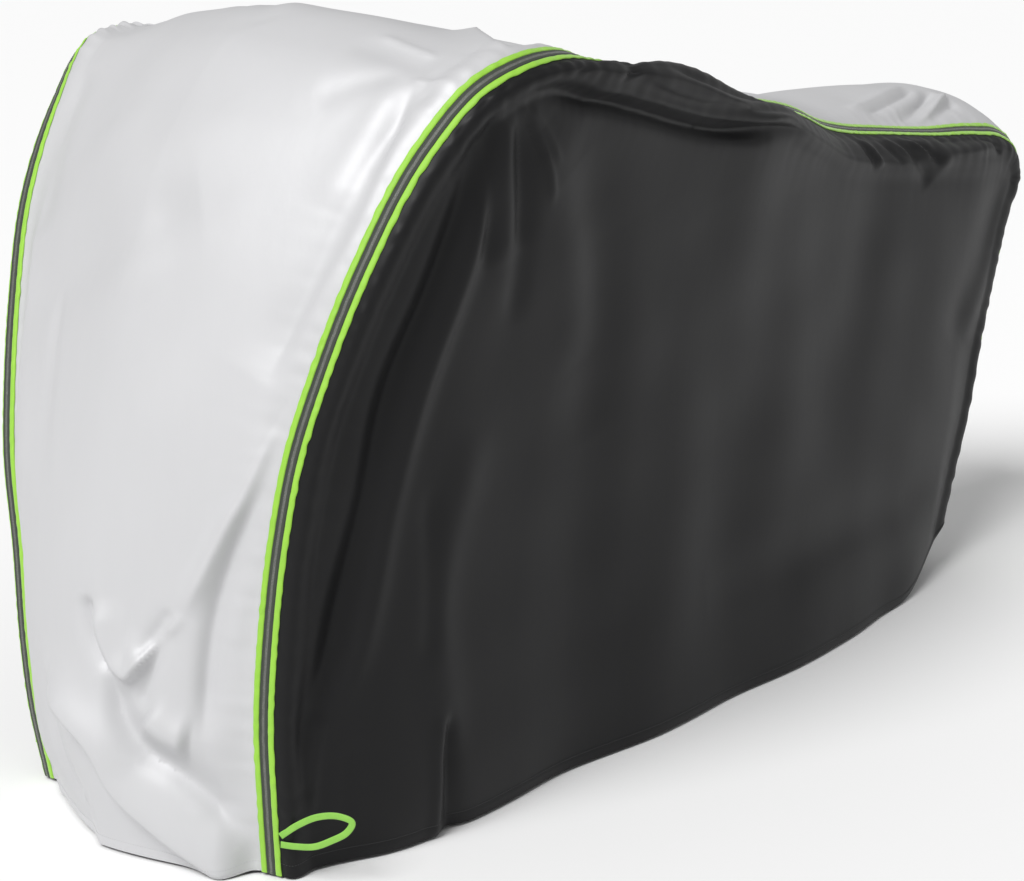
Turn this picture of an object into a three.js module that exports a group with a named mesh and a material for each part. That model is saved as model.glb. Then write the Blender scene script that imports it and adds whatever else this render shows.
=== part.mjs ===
// A fitted cover for a motorcycle, as it hangs in use: a silver centre strip that runs from the
// front hem over the top and down the back, a black panel on each side, and along both seams a
// woven tape between two bright pipings. A webbing loop is sewn in at the foot of each front seam.
//
// Lengths are millimetres. While the shape is worked out, x runs back from the foot of the front
// seam, y across with the near side negative, and z up from the hem. The finished meshes are moved
// so that the origin lies on the underside of the top, on the centre line.
import * as THREE from 'three';
import { mergeVertices } from 'three/addons/utils/BufferGeometryUtils.js';

// Cloth and trim.
const CLOTH = 1.5;
const PANEL_GAP = 0.4;
const FLAT_BAND = 20;
const BAND_BLEND = 50;
const TRIM_LIFT = 0.7;
const TAPE_WIDTH = 14;
const TAPE_THICK = 1.2;
const PIPING_WIDTH = 9.6;
const PIPING_THICK = 2.2;
const PIPING_GAP = 0.3;
const HEM_TUCK = 12;
const HEM_TUCK_REACH = 55;
const HEM_EASE = 1 / 12;
const SHOULDER_FOOT = 1 / 3;
const TAPE_EDGE = 0.3;
const PIPING_EDGE = 2;
const FOLD_END = 0.12;
const FOLD_FADE = 0.7;

// How the plane of the trim is found: how far from the seam each panel is probed, as millimetres
// on the strip and as shares of the way on the side panel, and how far it is evened out along.
const PROBE = 40;
const PROBE_INNER = 0.02;
const PROBE_OUTER = 0.965;
const WAY_REACH = 15;
const TWIST_REACH = 210;
const TWIST_STEPS = 8;

// The loop of webbing at the foot of the front seam.
const LOOP_WIDTH = 10;
const LOOP_THICK = 2.4;
const LOOP_HEIGHT = 60;
const LOOP_LIFT = 3;
const LOOP_STAND_OFF = new THREE.Vector3(0.5, -0.866, 0).normalize();
const LOOP_STEPS = 26;
const LOOP_ROUTE = [
  { along: 4, up: 6.6 },
  { along: 12, up: 12.8 },
  { along: 30, up: 26 },
  { along: 60, up: 40.2 },
  { along: 92, up: 44.4 },
  { along: 113, up: 36 },
  { along: 105, up: 20.4 },
  { along: 81, up: 5.7 },
  { along: 55, up: -5.1 },
  { along: 25, up: -8.2 },
  { along: 12, up: -7.2 },
  { along: 4, up: -6.6 },
];

// How far the trim's plane is turned round the seam at places along it, in degrees: above 0 towards
// the strip's own plane, below 0 towards the side panel's.
const NEAR_TURN = [
  { along: 0, degrees: 30 },
  { along: 900, degrees: 28 },
  { along: 1200, degrees: 16 },
  { along: 1360, degrees: 4 },
  { along: 1500, degrees: 0 },
  { along: 1700, degrees: -3 },
  { along: 1850, degrees: -8 },
  { along: 2000, degrees: -14 },
  { along: 2150, degrees: -20 },
  { along: 2300, degrees: -25 },
  { along: 2450, degrees: -26 },
  { along: 2600, degrees: -20 },
  { along: 2800, degrees: -13 },
  { along: 3050, degrees: -6 },
  { along: 3200, degrees: 0 },
  { along: 4100, degrees: 0 },
];
const FAR_TURN = [
  { along: 0, degrees: 32 },
  { along: 500, degrees: 36 },
  { along: 1000, degrees: 39 },
  { along: 1280, degrees: 39 },
  { along: 1380, degrees: 33 },
  { along: 1480, degrees: 22 },
  { along: 1600, degrees: 10 },
  { along: 1750, degrees: -1 },
  { along: 1850, degrees: -8 },
  { along: 2000, degrees: -14 },
  { along: 2150, degrees: -20 },
  { along: 2300, degrees: -25 },
  { along: 2450, degrees: -26 },
  { along: 2600, degrees: -20 },
  { along: 2800, degrees: -13 },
  { along: 3050, degrees: -6 },
  { along: 3200, degrees: 0 },
  { along: 4100, degrees: 0 },
];

// The near seam, one row for each place where it was sized, from the front hem to the rear hem.
// x, half and z place the seam itself, half being half the strip's width. midX and midZ place the
// strip's centre line. round shapes the strip across: 1 is a tent, 2 and more a full curve.
const FRONT_SEAM = [
  { x: 0, half: 270, z: 0, midX: -105, midZ: 0, round: 1.75 },
  { x: -16, half: 282, z: 127, midX: -122, midZ: 127, round: 1.75 },
  { x: -22, half: 286, z: 230, midX: -130, midZ: 235, round: 1.72 },
  { x: -18, half: 297, z: 385, midX: -124, midZ: 392, round: 1.7 },
  { x: -11, half: 317, z: 530, midX: -105, midZ: 545, round: 1.68 },
  { x: 8, half: 331, z: 645, midX: -80, midZ: 665, round: 1.65 },
  { x: 40, half: 353, z: 761, midX: -42, midZ: 790, round: 1.6 },
  { x: 94, half: 384, z: 908, midX: 18, midZ: 945, round: 1.5 },
  { x: 188, half: 414, z: 1064, midX: 112, midZ: 1105, round: 1.4 },
  { x: 270, half: 442, z: 1148, midX: 215, midZ: 1200, round: 1.3 },
  { x: 340, half: 455, z: 1175, midX: 308, midZ: 1235, round: 1.17 },
  { x: 415, half: 452, z: 1181, midX: 420, midZ: 1213, round: 1.25 },
];
const TOP_SEAM = [
  { x: 520, half: 428, z: 1162, midX: 550, midZ: 1183, round: 1.5 },
  { x: 700, half: 375, z: 1119, midX: 730, midZ: 1150, round: 1.8 },
  { x: 850, half: 335, z: 1084, midX: 865, midZ: 1114, round: 2 },
  { x: 1000, half: 302, z: 1052, midX: 1005, midZ: 1080, round: 2 },
  { x: 1160, half: 272, z: 1028, midX: 1160, midZ: 1052, round: 2 },
  { x: 1300, half: 240, z: 998, midX: 1310, midZ: 1024, round: 2 },
  { x: 1400, half: 220, z: 966, midX: 1430, midZ: 1004, round: 2 },
  { x: 1500, half: 203, z: 946, midX: 1540, midZ: 984, round: 2 },
  { x: 1640, half: 189, z: 928, midX: 1670, midZ: 984, round: 2 },
  { x: 1830, half: 175, z: 906, midX: 1860, midZ: 981, round: 2 },
  { x: 2000, half: 168, z: 893, midX: 2015, midZ: 968, round: 2.1 },
  { x: 2095, half: 165, z: 878, midX: 2118, midZ: 938, round: 2.3 },
];
const REAR_SEAM = [
  { x: 2158, half: 162, z: 845, midX: 2178, midZ: 888, round: 2.4 },
  { x: 2184, half: 160, z: 790, midX: 2204, midZ: 812, round: 2.2 },
  { x: 2150, half: 160, z: 700, midX: 2178, midZ: 703, round: 2 },
  { x: 2110, half: 162, z: 590, midX: 2140, midZ: 592, round: 2 },
  { x: 2066, half: 166, z: 470, midX: 2098, midZ: 470, round: 2 },
  { x: 2022, half: 171, z: 330, midX: 2054, midZ: 330, round: 2 },
  { x: 1962, half: 176, z: 190, midX: 1992, midZ: 190, round: 2 },
  { x: 1920, half: 180, z: 95, midX: 1950, midZ: 95, round: 2 },
];

// The side panel's hem between the two seams.
const SIDE_HEM = [
  { x: 76, half: 307, z: 0 },
  { x: 174, half: 343, z: 0 },
  { x: 309, half: 352, z: 0 },
  { x: 442, half: 344, z: 0 },
  { x: 585, half: 328, z: 0 },
  { x: 700, half: 332, z: 0 },
  { x: 820, half: 341, z: 0 },
  { x: 1011, half: 324, z: 0 },
  { x: 1262, half: 318, z: 0 },
  { x: 1425, half: 302, z: 0 },
  { x: 1570, half: 275, z: 0 },
  { x: 1690, half: 251, z: 2 },
  { x: 1778, half: 228, z: 30 },
  { x: 1856, half: 205, z: 62 },
];

// The shoulder of a side panel: how far the cloth stands out and up from a straight fall, by its
// distance down from the top seam, and how strong that is from the front to the rear of the seam.
const SHOULDER = [
  { down: 0, out: 0, up: 0 },
  { down: 15, out: 12, up: 20 },
  { down: 32, out: 26, up: 46 },
  { down: 58, out: 46, up: 58 },
  { down: 85, out: 68, up: 61 },
  { down: 107, out: 84, up: 60 },
  { down: 124, out: 80, up: 58 },
  { down: 142, out: 71, up: 55 },
  { down: 175, out: 68, up: 52 },
  { down: 260, out: 61, up: 46 },
  { down: 450, out: 42, up: 32 },
  { down: 800, out: 12, up: 10 },
  { down: 1400, out: 0, up: 0 },
];
const SHOULDER_STRENGTH = [
  { at: 0, out: 0, up: 0 },
  { at: 0.03, out: 0.18, up: 0.16 },
  { at: 0.06, out: 0.35, up: 0.32 },
  { at: 0.1, out: 0.52, up: 0.4 },
  { at: 0.13, out: 0.65, up: 0.46 },
  { at: 0.165, out: 0.75, up: 0.66 },
  { at: 0.21, out: 0.86, up: 0.8 },
  { at: 0.28, out: 0.97, up: 0.8 },
  { at: 0.36, out: 1, up: 0.54 },
  { at: 0.44, out: 0.98, up: 0.36 },
  { at: 0.5, out: 0.85, up: 0.12 },
  { at: 0.56, out: 0.7, up: 0.04 },
  { at: 0.62, out: 0.55, up: 0.02 },
  { at: 0.68, out: 0.44, up: 0.04 },
  { at: 0.74, out: 0.4, up: 0.08 },
  { at: 0.85, out: 0.36, up: 0.14 },
  { at: 0.94, out: 0.2, up: 0.12 },
  { at: 1, out: 0, up: 0 },
];

// Folds of a side panel, each along a bent line from one place through a second to a third, given
// by x and z. rise is above the cloth, or below it where negative, and fades at the line's ends.
const NEAR_FOLDS = [
  { x0: 290, z0: 1110, x1: 165, z1: 740, x2: 45, z2: 230, width: 34, rise: -20 },
  { x0: 327, z0: 1076, x1: 235, z1: 740, x2: 130, z2: 380, width: 40, rise: 16 },
  { x0: 357, z0: 1094, x1: 391, z1: 999, x2: 412, z2: 780, width: 30, rise: -11 },
  { x0: 380, z0: 1085, x1: 470, z1: 960, x2: 560, z2: 700, width: 42, rise: 10 },
  { x0: 470, z0: 1010, x1: 560, z1: 860, x2: 600, z2: 560, width: 60, rise: -12 },
  { x0: 330, z0: 640, x1: 262, z1: 420, x2: 280, z2: 120, width: 44, rise: 9 },
  { x0: 300, z0: 260, x1: 281, z1: 110, x2: 286, z2: 10, width: 26, rise: -14 },
  { x0: 640, z0: 900, x1: 720, z1: 620, x2: 700, z2: 220, width: 85, rise: 12 },
  { x0: 880, z0: 900, x1: 960, z1: 600, x2: 940, z2: 100, width: 80, rise: -12 },
  { x0: 1180, z0: 880, x1: 1190, z1: 600, x2: 1130, z2: 120, width: 90, rise: 13 },
  { x0: 1840, z0: 190, x1: 1340, z1: 210, x2: 960, z2: 210, width: 55, rise: -11 },
  { x0: 1500, z0: 800, x1: 1460, z1: 520, x2: 1420, z2: 160, width: 75, rise: -10 },
  { x0: 1388, z0: 947, x1: 1460, z1: 910, x2: 1534, z2: 860, width: 18, rise: -9 },
  { x0: 1557, z0: 926, x1: 1660, z1: 870, x2: 1770, z2: 810, width: 22, rise: -12 },
  { x0: 1700, z0: 885, x1: 1830, z1: 862, x2: 1990, z2: 858, width: 26, rise: 10 },
  { x0: 2060, z0: 810, x1: 2020, z1: 700, x2: 1870, z2: 500, width: 34, rise: -12 },
];
const FAR_FOLDS = [
  { x0: 300, z0: 1100, x1: 190, z1: 760, x2: 90, z2: 330, width: 36, rise: -17 },
  { x0: 352, z0: 1050, x1: 290, z1: 800, x2: 230, z2: 420, width: 44, rise: 13 },
  { x0: 420, z0: 1050, x1: 500, z1: 880, x2: 520, z2: 560, width: 40, rise: -11 },
  { x0: 560, z0: 960, x1: 640, z1: 700, x2: 640, z2: 260, width: 75, rise: 12 },
  { x0: 820, z0: 880, x1: 860, z1: 560, x2: 840, z2: 120, width: 75, rise: -12 },
  { x0: 1080, z0: 900, x1: 1100, z1: 560, x2: 1060, z2: 140, width: 85, rise: 12 },
  { x0: 1390, z0: 860, x1: 1350, z1: 520, x2: 1310, z2: 140, width: 80, rise: -11 },
  { x0: 1760, z0: 240, x1: 1420, z1: 230, x2: 1120, z2: 190, width: 60, rise: -10 },
  { x0: 1610, z0: 900, x1: 1700, z1: 830, x2: 1780, z2: 740, width: 24, rise: -11 },
  { x0: 1800, z0: 870, x1: 1900, z1: 850, x2: 2010, z2: 850, width: 28, rise: 9 },
  { x0: 2050, z0: 780, x1: 1980, z1: 640, x2: 1860, z2: 400, width: 36, rise: -11 },
];

// Folds of the centre strip, placed by the way along the near seam and by y.
const STRIP_FOLDS = [
  { along0: 695, y0: -300, along1: 530, y1: -240, along2: 310, y2: -110, width: 17, rise: 15 },
  { along0: 640, y0: -290, along1: 430, y1: -236, along2: 200, y2: -214, width: 24, rise: -17 },
  { along0: 400, y0: -190, along1: 330, y1: -140, along2: 235, y2: -118, width: 26, rise: -10 },
  { along0: 390, y0: -30, along1: 335, y1: -70, along2: 300, y2: -108, width: 16, rise: 12 },
  { along0: 360, y0: -48, along1: 235, y1: -92, along2: 95, y2: -206, width: 24, rise: -18 },
  { along0: 245, y0: 130, along1: 172, y1: -60, along2: 5, y2: -232, width: 26, rise: 22 },
  { along0: 210, y0: 90, along1: 120, y1: 10, along2: 40, y2: -80, width: 36, rise: -9 },
  { along0: 215, y0: -190, along1: 208, y1: -168, along2: 200, y2: -150, width: 30, rise: 9 },
  { along0: 1206, y0: -352, along1: 1010, y1: -356, along2: 735, y2: -270, width: 26, rise: -19 },
  { along0: 1207, y0: -318, along1: 1120, y1: -334, along2: 960, y2: -330, width: 18, rise: 10 },
  { along0: 1236, y0: -330, along1: 1205, y1: -280, along2: 1145, y2: -180, width: 18, rise: -10 },
  { along0: 1210, y0: -352, along1: 1212, y1: -385, along2: 1216, y2: -420, width: 14, rise: 9 },
  { along0: 1300, y0: -215, along1: 1288, y1: -280, along2: 1272, y2: -340, width: 14, rise: 10 },
  { along0: 1400, y0: -275, along1: 1350, y1: -360, along2: 1306, y2: -436, width: 15, rise: 14 },
  { along0: 1430, y0: -290, along1: 1385, y1: -370, along2: 1345, y2: -440, width: 17, rise: -12 },
  { along0: 784, y0: 281, along1: 890, y1: 60, along2: 974, y2: -104, width: 60, rise: -10 },
  { along0: 1180, y0: 360, along1: 1040, y1: 340, along2: 880, y2: 280, width: 45, rise: -10 },
  { along0: 1560, y0: 300, along1: 1640, y1: 60, along2: 1580, y2: -220, width: 70, rise: -12 },
  { along0: 1900, y0: -240, along1: 1960, y1: 0, along2: 1900, y2: 240, width: 70, rise: -10 },
  { along0: 2240, y0: -190, along1: 2330, y1: 0, along2: 2300, y2: 180, width: 60, rise: -9 },
  { along0: 2860, y0: -130, along1: 2960, y1: -40, along2: 3060, y2: -20, width: 20, rise: -12 },
  { along0: 2880, y0: 120, along1: 2980, y1: 70, along2: 3060, y2: 40, width: 22, rise: -9 },
  { along0: 3260, y0: -70, along1: 3500, y1: -50, along2: 3800, y2: -80, width: 40, rise: 10 },
  { along0: 3300, y0: 80, along1: 3560, y1: 60, along2: 3840, y2: 90, width: 40, rise: -9 },
];

// Grid lines of the side panel, front to rear and hem to top, as shares of the way, closest
// together at the seams, at the hem and at the shoulder. The strip and the trim share them.
const ACROSS_SIDE = [
  0, 0.014, 0.028, 0.043, 0.06, 0.078, 0.1, 0.13, 0.165, 0.203, 0.243, 0.283, 0.323, 0.363, 0.403, 0.443,
  0.483, 0.523, 0.563, 0.603, 0.643, 0.683, 0.723, 0.763, 0.8, 0.837, 0.873, 0.905, 0.933, 0.957, 0.979, 1,
];
const UP_SIDE = [
  0, 0.04, 0.085, 0.135, 0.19, 0.25, 0.31, 0.37, 0.43, 0.49, 0.55, 0.61, 0.67, 0.73, 0.785, 0.835, 0.872,
  0.897, 0.919, 0.944, 0.97, 1,
];
const STRIP_CELLS = 14;

// A curve through rows of numbers: cubic pieces whose slopes come from the neighbouring rows.
function curveThrough(knots, rows) {
  const last = knots.length - 1;
  const step = (i) => knots[i + 1] - knots[i];
  const slopes = rows.map((row, i) => row.map((value, c) => {
    const rising = (k) => (rows[k + 1][c] - rows[k][c]) / step(k);
    if (i === 0) return rising(0);
    if (i === last) return rising(last - 1);
    return (rising(i - 1) * step(i) + rising(i) * step(i - 1)) / (step(i) + step(i - 1));
  }));
  return (at) => {
    let i = 0;
    while (i < last - 1 && at >= knots[i + 1]) i += 1;
    const h = step(i);
    const t = (at - knots[i]) / h;
    return rows[i].map((value, c) => value * (1 + 2 * t) * (1 - t) ** 2
      + slopes[i][c] * h * t * (1 - t) ** 2
      + rows[i + 1][c] * t * t * (3 - 2 * t)
      + slopes[i + 1][c] * h * t * t * (t - 1));
  };
}

// Distances run along a line of points, from zero at its start.
function distancesAlong(points) {
  const run = [0];
  for (let i = 1; i < points.length; i += 1) run.push(run[i - 1] + points[i].distanceTo(points[i - 1]));
  return run;
}

const smooth = (x) => {
  const t = Math.min(Math.max(x, 0), 1);
  return t * t * (3 - 2 * t);
};

// The seam, as a function of the distance along it.
const seamRows = [...FRONT_SEAM, ...TOP_SEAM, ...REAR_SEAM];
const seamKnots = distancesAlong(seamRows.map((row) => new THREE.Vector3(row.x, -row.half, row.z)));
const seamCurve = curveThrough(seamKnots, seamRows.map((row) => (
  [row.x, row.half, row.z, row.midX, row.midZ, row.round])));
const SEAM_TOP = seamKnots[FRONT_SEAM.length - 1];
const SEAM_TAIL = seamKnots[FRONT_SEAM.length + TOP_SEAM.length - 1];
const SEAM_END = seamKnots[seamKnots.length - 1];

function seamPoint(along) {
  const [x, half, z] = seamCurve(along);
  return new THREE.Vector3(x, -half, z);
}

// A point of the bare strip; t runs from -1 on the near seam to 1 on the far one.
function stripPoint(along, t) {
  const [x, half, z, midX, midZ, round] = seamCurve(along);
  const share = Math.abs(t) ** round;
  return new THREE.Vector3(midX + (x - midX) * share, half * t, midZ + (z - midZ) * share);
}

const shoulderCurve = curveThrough(
  SHOULDER.map((row) => row.down),
  SHOULDER.map((row) => [row.out, row.up]),
);
const strengthCurve = curveThrough(
  SHOULDER_STRENGTH.map((row) => row.at),
  SHOULDER_STRENGTH.map((row) => [row.out, row.up]),
);

// A side panel's surface between four edges, with the shoulder and the fuller cloth over the hem.
// u runs from the front edge to the rear one and v from the hem to the top edge.
function sidePoint(edges, u, v) {
  const front = edges.front(v);
  const rear = edges.rear(v);
  const top = edges.top(u);
  const hem = edges.hem(u);
  const point = new THREE.Vector3()
    .addScaledVector(front, 1 - u)
    .addScaledVector(rear, u)
    .addScaledVector(hem, 1 - v)
    .addScaledVector(top, v)
    .addScaledVector(edges.front(0), -(1 - u) * (1 - v))
    .addScaledVector(edges.rear(0), -u * (1 - v))
    .addScaledVector(edges.front(1), -(1 - u) * v)
    .addScaledVector(edges.rear(1), -u * v);
  const fall = top.distanceTo(hem);
  const [out, up] = shoulderCurve((1 - v) * fall);
  const [outShare, upShare] = strengthCurve(u);
  const tuck = HEM_TUCK * (1 - Math.exp(-v * fall / HEM_TUCK_REACH)) * (1 - v);
  point.y -= out * outShare + tuck * smooth(u / HEM_EASE) * smooth((1 - u) / HEM_EASE);
  point.z += up * upShare * Math.min(1, v / SHOULDER_FOOT);
  return point;
}

// The hem's curve between two given end points.
function hemBetween(start, end) {
  const rows = [start, ...SIDE_HEM.map((row) => new THREE.Vector3(row.x, -row.half, row.z)), end];
  const knots = distancesAlong(rows);
  const curve = curveThrough(knots, rows.map((row) => row.toArray()));
  return (u) => new THREE.Vector3(...curve(u * knots[knots.length - 1]));
}

const seamEdges = {
  front: (v) => seamPoint(v * SEAM_TOP),
  top: (u) => seamPoint(SEAM_TOP + u * (SEAM_TAIL - SEAM_TOP)),
  rear: (v) => seamPoint(SEAM_END - v * (SEAM_END - SEAM_TAIL)),
  hem: hemBetween(seamPoint(0), seamPoint(SEAM_END)),
};

// A place on the side panel a little way in from the seam.
function sideProbe(along) {
  if (along <= SEAM_TOP) return sidePoint(seamEdges, PROBE_INNER, Math.min(along / SEAM_TOP, PROBE_OUTER));
  if (along >= SEAM_TAIL) {
    const v = Math.min((SEAM_END - along) / (SEAM_END - SEAM_TAIL), PROBE_OUTER);
    return sidePoint(seamEdges, 1 - PROBE_INNER, v);
  }
  const u = (along - SEAM_TOP) / (SEAM_TAIL - SEAM_TOP);
  return sidePoint(seamEdges, Math.min(Math.max(u, PROBE_INNER), 1 - PROBE_INNER), PROBE_OUTER);
}

// The way across at one place, before it is evened out along the seam.
function bareAcross(along) {
  const point = seamPoint(along);
  const way = seamWay(along);
  const [, half] = seamCurve(along);
  const toStrip = stripPoint(along, -1 + PROBE / half).sub(point);
  toStrip.addScaledVector(way, -toStrip.dot(way)).normalize();
  const toSide = sideProbe(along).sub(point);
  toSide.addScaledVector(way, -toSide.dot(way)).normalize();
  return toSide.sub(toStrip).normalize();
}

// The way along the seam.
function seamWay(along) {
  const ahead = seamPoint(Math.min(along + WAY_REACH, SEAM_END));
  return ahead.sub(seamPoint(Math.max(along - WAY_REACH, 0))).normalize();
}

// The seam's frame: its point, the way along, the way across from the strip to the side panel in
// the plane where the trim lies flat, and the outward way. across lies midway between the panels and
// is then turned round the seam by so many degrees.
function seamFrame(along, degrees) {
  const way = seamWay(along);
  const across = new THREE.Vector3();
  for (let k = -TWIST_STEPS; k <= TWIST_STEPS; k += 1) {
    const place = Math.min(Math.max(along + (k / TWIST_STEPS) * TWIST_REACH, 0), SEAM_END);
    across.addScaledVector(bareAcross(place), TWIST_STEPS + 1 - Math.abs(k));
  }
  across.addScaledVector(way, -across.dot(way)).normalize();
  const out = new THREE.Vector3().crossVectors(across, way).normalize();
  const turn = THREE.MathUtils.degToRad(degrees);
  across.applyAxisAngle(way, -turn);
  out.applyAxisAngle(way, -turn);
  return { point: seamPoint(along), way, across, out };
}

const stations = [
  ...UP_SIDE.map((v) => v * SEAM_TOP),
  ...ACROSS_SIDE.slice(1).map((u) => SEAM_TOP + u * (SEAM_TAIL - SEAM_TOP)),
  ...UP_SIDE.slice(0, -1).reverse().map((v) => SEAM_END - v * (SEAM_END - SEAM_TAIL)),
];

const beside = (frame, distance) => frame.point.clone().addScaledVector(frame.across, distance);

// The seam on one side of the cover: its frame at any place along it, the frames at the stations and
// the inner edge of the flat band under the trim.
function seamSide(turns) {
  const turnAt = curveThrough(turns.map((row) => row.along), turns.map((row) => [row.degrees]));
  const at = (along) => seamFrame(along, turnAt(along)[0]);
  const frames = stations.map(at);
  return { at, frames, band: frames.map((frame) => beside(frame, FLAT_BAND)) };
}
const nearSeam = seamSide(NEAR_TURN);
const farSeam = seamSide(FAR_TURN);

// The height of all the folds at one place, each a soft ridge or trough along two straight runs.
function foldHeight(folds, a, b) {
  let height = 0;
  for (const fold of folds) {
    const [[a0, b0], [a1, b1], [a2, b2]] = fold.line;
    const first = Math.hypot(a1 - a0, b1 - b0);
    const second = Math.hypot(a2 - a1, b2 - b1);
    const near = [[a0, b0, a1, b1, first, 0], [a1, b1, a2, b2, second, first]].map((run) => {
      const [pa, pb, qa, qb, length, before] = run;
      const t = ((a - pa) * (qa - pa) + (b - pb) * (qb - pb)) / (length * length);
      const held = Math.min(Math.max(t, 0), 1);
      const gap = Math.hypot(a - pa - (qa - pa) * held, b - pb - (qb - pb) * held);
      return { gap, share: (before + held * length) / (first + second) };
    }).reduce((best, one) => (one.gap < best.gap ? one : best));
    const fade = Math.sin(Math.PI * (FOLD_END + (1 - 2 * FOLD_END) * near.share)) ** FOLD_FADE;
    height += fold.rise * fade * Math.exp(-((near.gap / fold.width) ** 2));
  }
  return height;
}

const sideFolds = (rows) => rows.map(({ x0, z0, x1, z1, x2, z2, width, rise }) => (
  { line: [[x0, z0], [x1, z1], [x2, z2]], width, rise }));
const stripFolds = STRIP_FOLDS.map(({ along0, y0, along1, y1, along2, y2, width, rise }) => (
  { line: [[along0, y0], [along1, y1], [along2, y2]], width, rise }));

// The outward way at each point of a grid, worked out from its neighbours.
function gridNormals(grid) {
  return grid.map((row, i) => row.map((point, j) => {
    const down = grid[Math.max(i - 1, 0)][j];
    const up = grid[Math.min(i + 1, grid.length - 1)][j];
    const left = row[Math.max(j - 1, 0)];
    const right = row[Math.min(j + 1, row.length - 1)];
    return new THREE.Vector3().crossVectors(up.clone().sub(down), right.clone().sub(left)).normalize();
  }));
}

// The mesh of a closed skin: an outer and an inner sheet of points joined round the rim.
// The cells of both sheets are split along the diagonal that lean picks.
function skinGeometry(outer, inner, lean) {
  const across = outer[0].length;
  const positions = [...outer.flat(), ...inner.flat()].flatMap((point) => point.toArray());
  const under = outer.length * across;
  const faces = [];
  const id = (i, j, side) => i * across + j + side * under;
  for (let i = 0; i < outer.length - 1; i += 1) {
    for (let j = 0; j < across - 1; j += 1) {
      for (const side of [0, 1]) {
        const corners = [id(i, j, side), id(i + 1, j, side), id(i + 1, j + 1, side), id(i, j + 1, side)];
        const [a, b, c, d] = side ? corners.reverse() : corners;
        const straight = lean(i, j) !== (side === 1);
        faces.push(...(straight ? [a, b, c, a, c, d] : [a, b, d, b, c, d]));
      }
    }
  }
  const rim = [];
  for (let j = 0; j < across - 1; j += 1) rim.push([0, j + 1, 0, j]);
  for (let i = 0; i < outer.length - 1; i += 1) rim.push([i, 0, i + 1, 0]);
  for (let j = 0; j < across - 1; j += 1) rim.push([outer.length - 1, j, outer.length - 1, j + 1]);
  for (let i = outer.length - 1; i > 0; i -= 1) rim.push([i, across - 1, i - 1, across - 1]);
  for (const [i0, j0, i1, j1] of rim) {
    const [a, b] = [id(i0, j0, 0), id(i1, j1, 0)];
    const [c, d] = [id(i1, j1, 1), id(i0, j0, 1)];
    faces.push(b, a, d, b, d, c);
  }
  return meshGeometry(positions, faces);
}

function meshGeometry(positions, faces) {
  const geometry = new THREE.BufferGeometry();
  geometry.setAttribute('position', new THREE.Float32BufferAttribute(positions, 3));
  geometry.setIndex(faces);
  const merged = mergeVertices(geometry, 1e-4);
  merged.computeVertexNormals();
  return merged;
}

const thicken = (grid, normals) => [0.5, -0.5].map((half) => grid.map((row, i) => row.map((point, j) => (
  point.clone().addScaledVector(normals[i][j], half * CLOTH)))));

// The centre strip: along the stations, with flat bands under the trim at both edges.
function buildStrip() {
  const bare = [];
  for (let i = 0; i < stations.length; i += 1) {
    const [, half] = seamCurve(stations[i]);
    const flat = 1 - FLAT_BAND / half;
    const row = Array.from({ length: STRIP_CELLS + 1 }, (_, j) => -flat + (2 * flat * j) / STRIP_CELLS);
    bare.push([-1, ...row, 1].map((t) => {
      const seam = t > 0 ? farSeam : nearSeam;
      return { t, half, along: stations[i], frame: seam.frames[i] };
    }));
  }
  const flatPoint = (cell) => {
    const distance = Math.max((1 - Math.abs(cell.t)) * cell.half, PANEL_GAP / 2);
    const point = beside(cell.frame, -distance);
    if (cell.t > 0) point.y = -point.y;
    return point;
  };
  const base = bare.map((row) => row.map((cell) => {
    const distance = (1 - Math.abs(cell.t)) * cell.half - FLAT_BAND;
    return flatPoint(cell).lerp(stripPoint(cell.along, cell.t), smooth(distance / BAND_BLEND));
  }));
  const way = gridNormals(base);
  const draped = base.map((row, i) => row.map((point, j) => {
    const cell = bare[i][j];
    const free = smooth(((1 - Math.abs(cell.t)) * cell.half - FLAT_BAND) / BAND_BLEND);
    const height = free * foldHeight(stripFolds, cell.along, cell.t * cell.half);
    return point.clone().addScaledVector(way[i][j], height);
  }));
  const normals = gridNormals(draped);
  normals.forEach((row, i) => {
    const nearOut = nearSeam.frames[i].out;
    const { out } = farSeam.frames[i];
    const farOut = new THREE.Vector3(out.x, -out.y, out.z);
    row.splice(0, 2, nearOut, nearOut);
    row.splice(row.length - 2, 2, farOut, farOut);
  });
  return { draped, normals };
}

// A side panel: its inner field between the flat bands, then the bands and the seam edge.
function buildSide(folds, seam) {
  const bandAt = (along) => beside(seam.at(along), FLAT_BAND);
  const edges = {
    front: (v) => bandAt(v * SEAM_TOP),
    top: (u) => bandAt(SEAM_TOP + u * (SEAM_TAIL - SEAM_TOP)),
    rear: (v) => bandAt(SEAM_END - v * (SEAM_END - SEAM_TAIL)),
    hem: hemBetween(bandAt(0), bandAt(SEAM_END)),
  };
  const base = UP_SIDE.map((v) => ACROSS_SIDE.map((u) => {
    const point = sidePoint(edges, u, v);
    const { gap, flat } = nearestBand(seam, point);
    return flat.lerp(point, smooth(gap / BAND_BLEND));
  }));
  const way = gridNormals(base);
  const draped = base.map((row, i) => row.map((point, j) => {
    const free = smooth(nearestBand(seam, point).gap / BAND_BLEND);
    return point.clone().addScaledVector(way[i][j], -free * foldHeight(folds, point.x, point.z));
  }));
  const normals = gridNormals(draped).map((row, i) => row.map((normal, j) => {
    const { gap, out } = nearestBand(seam, draped[i][j]);
    return out.lerp(normal.negate(), smooth(gap / BAND_BLEND)).normalize();
  }));
  return { draped, normals, frames: seam.frames };
}

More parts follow.
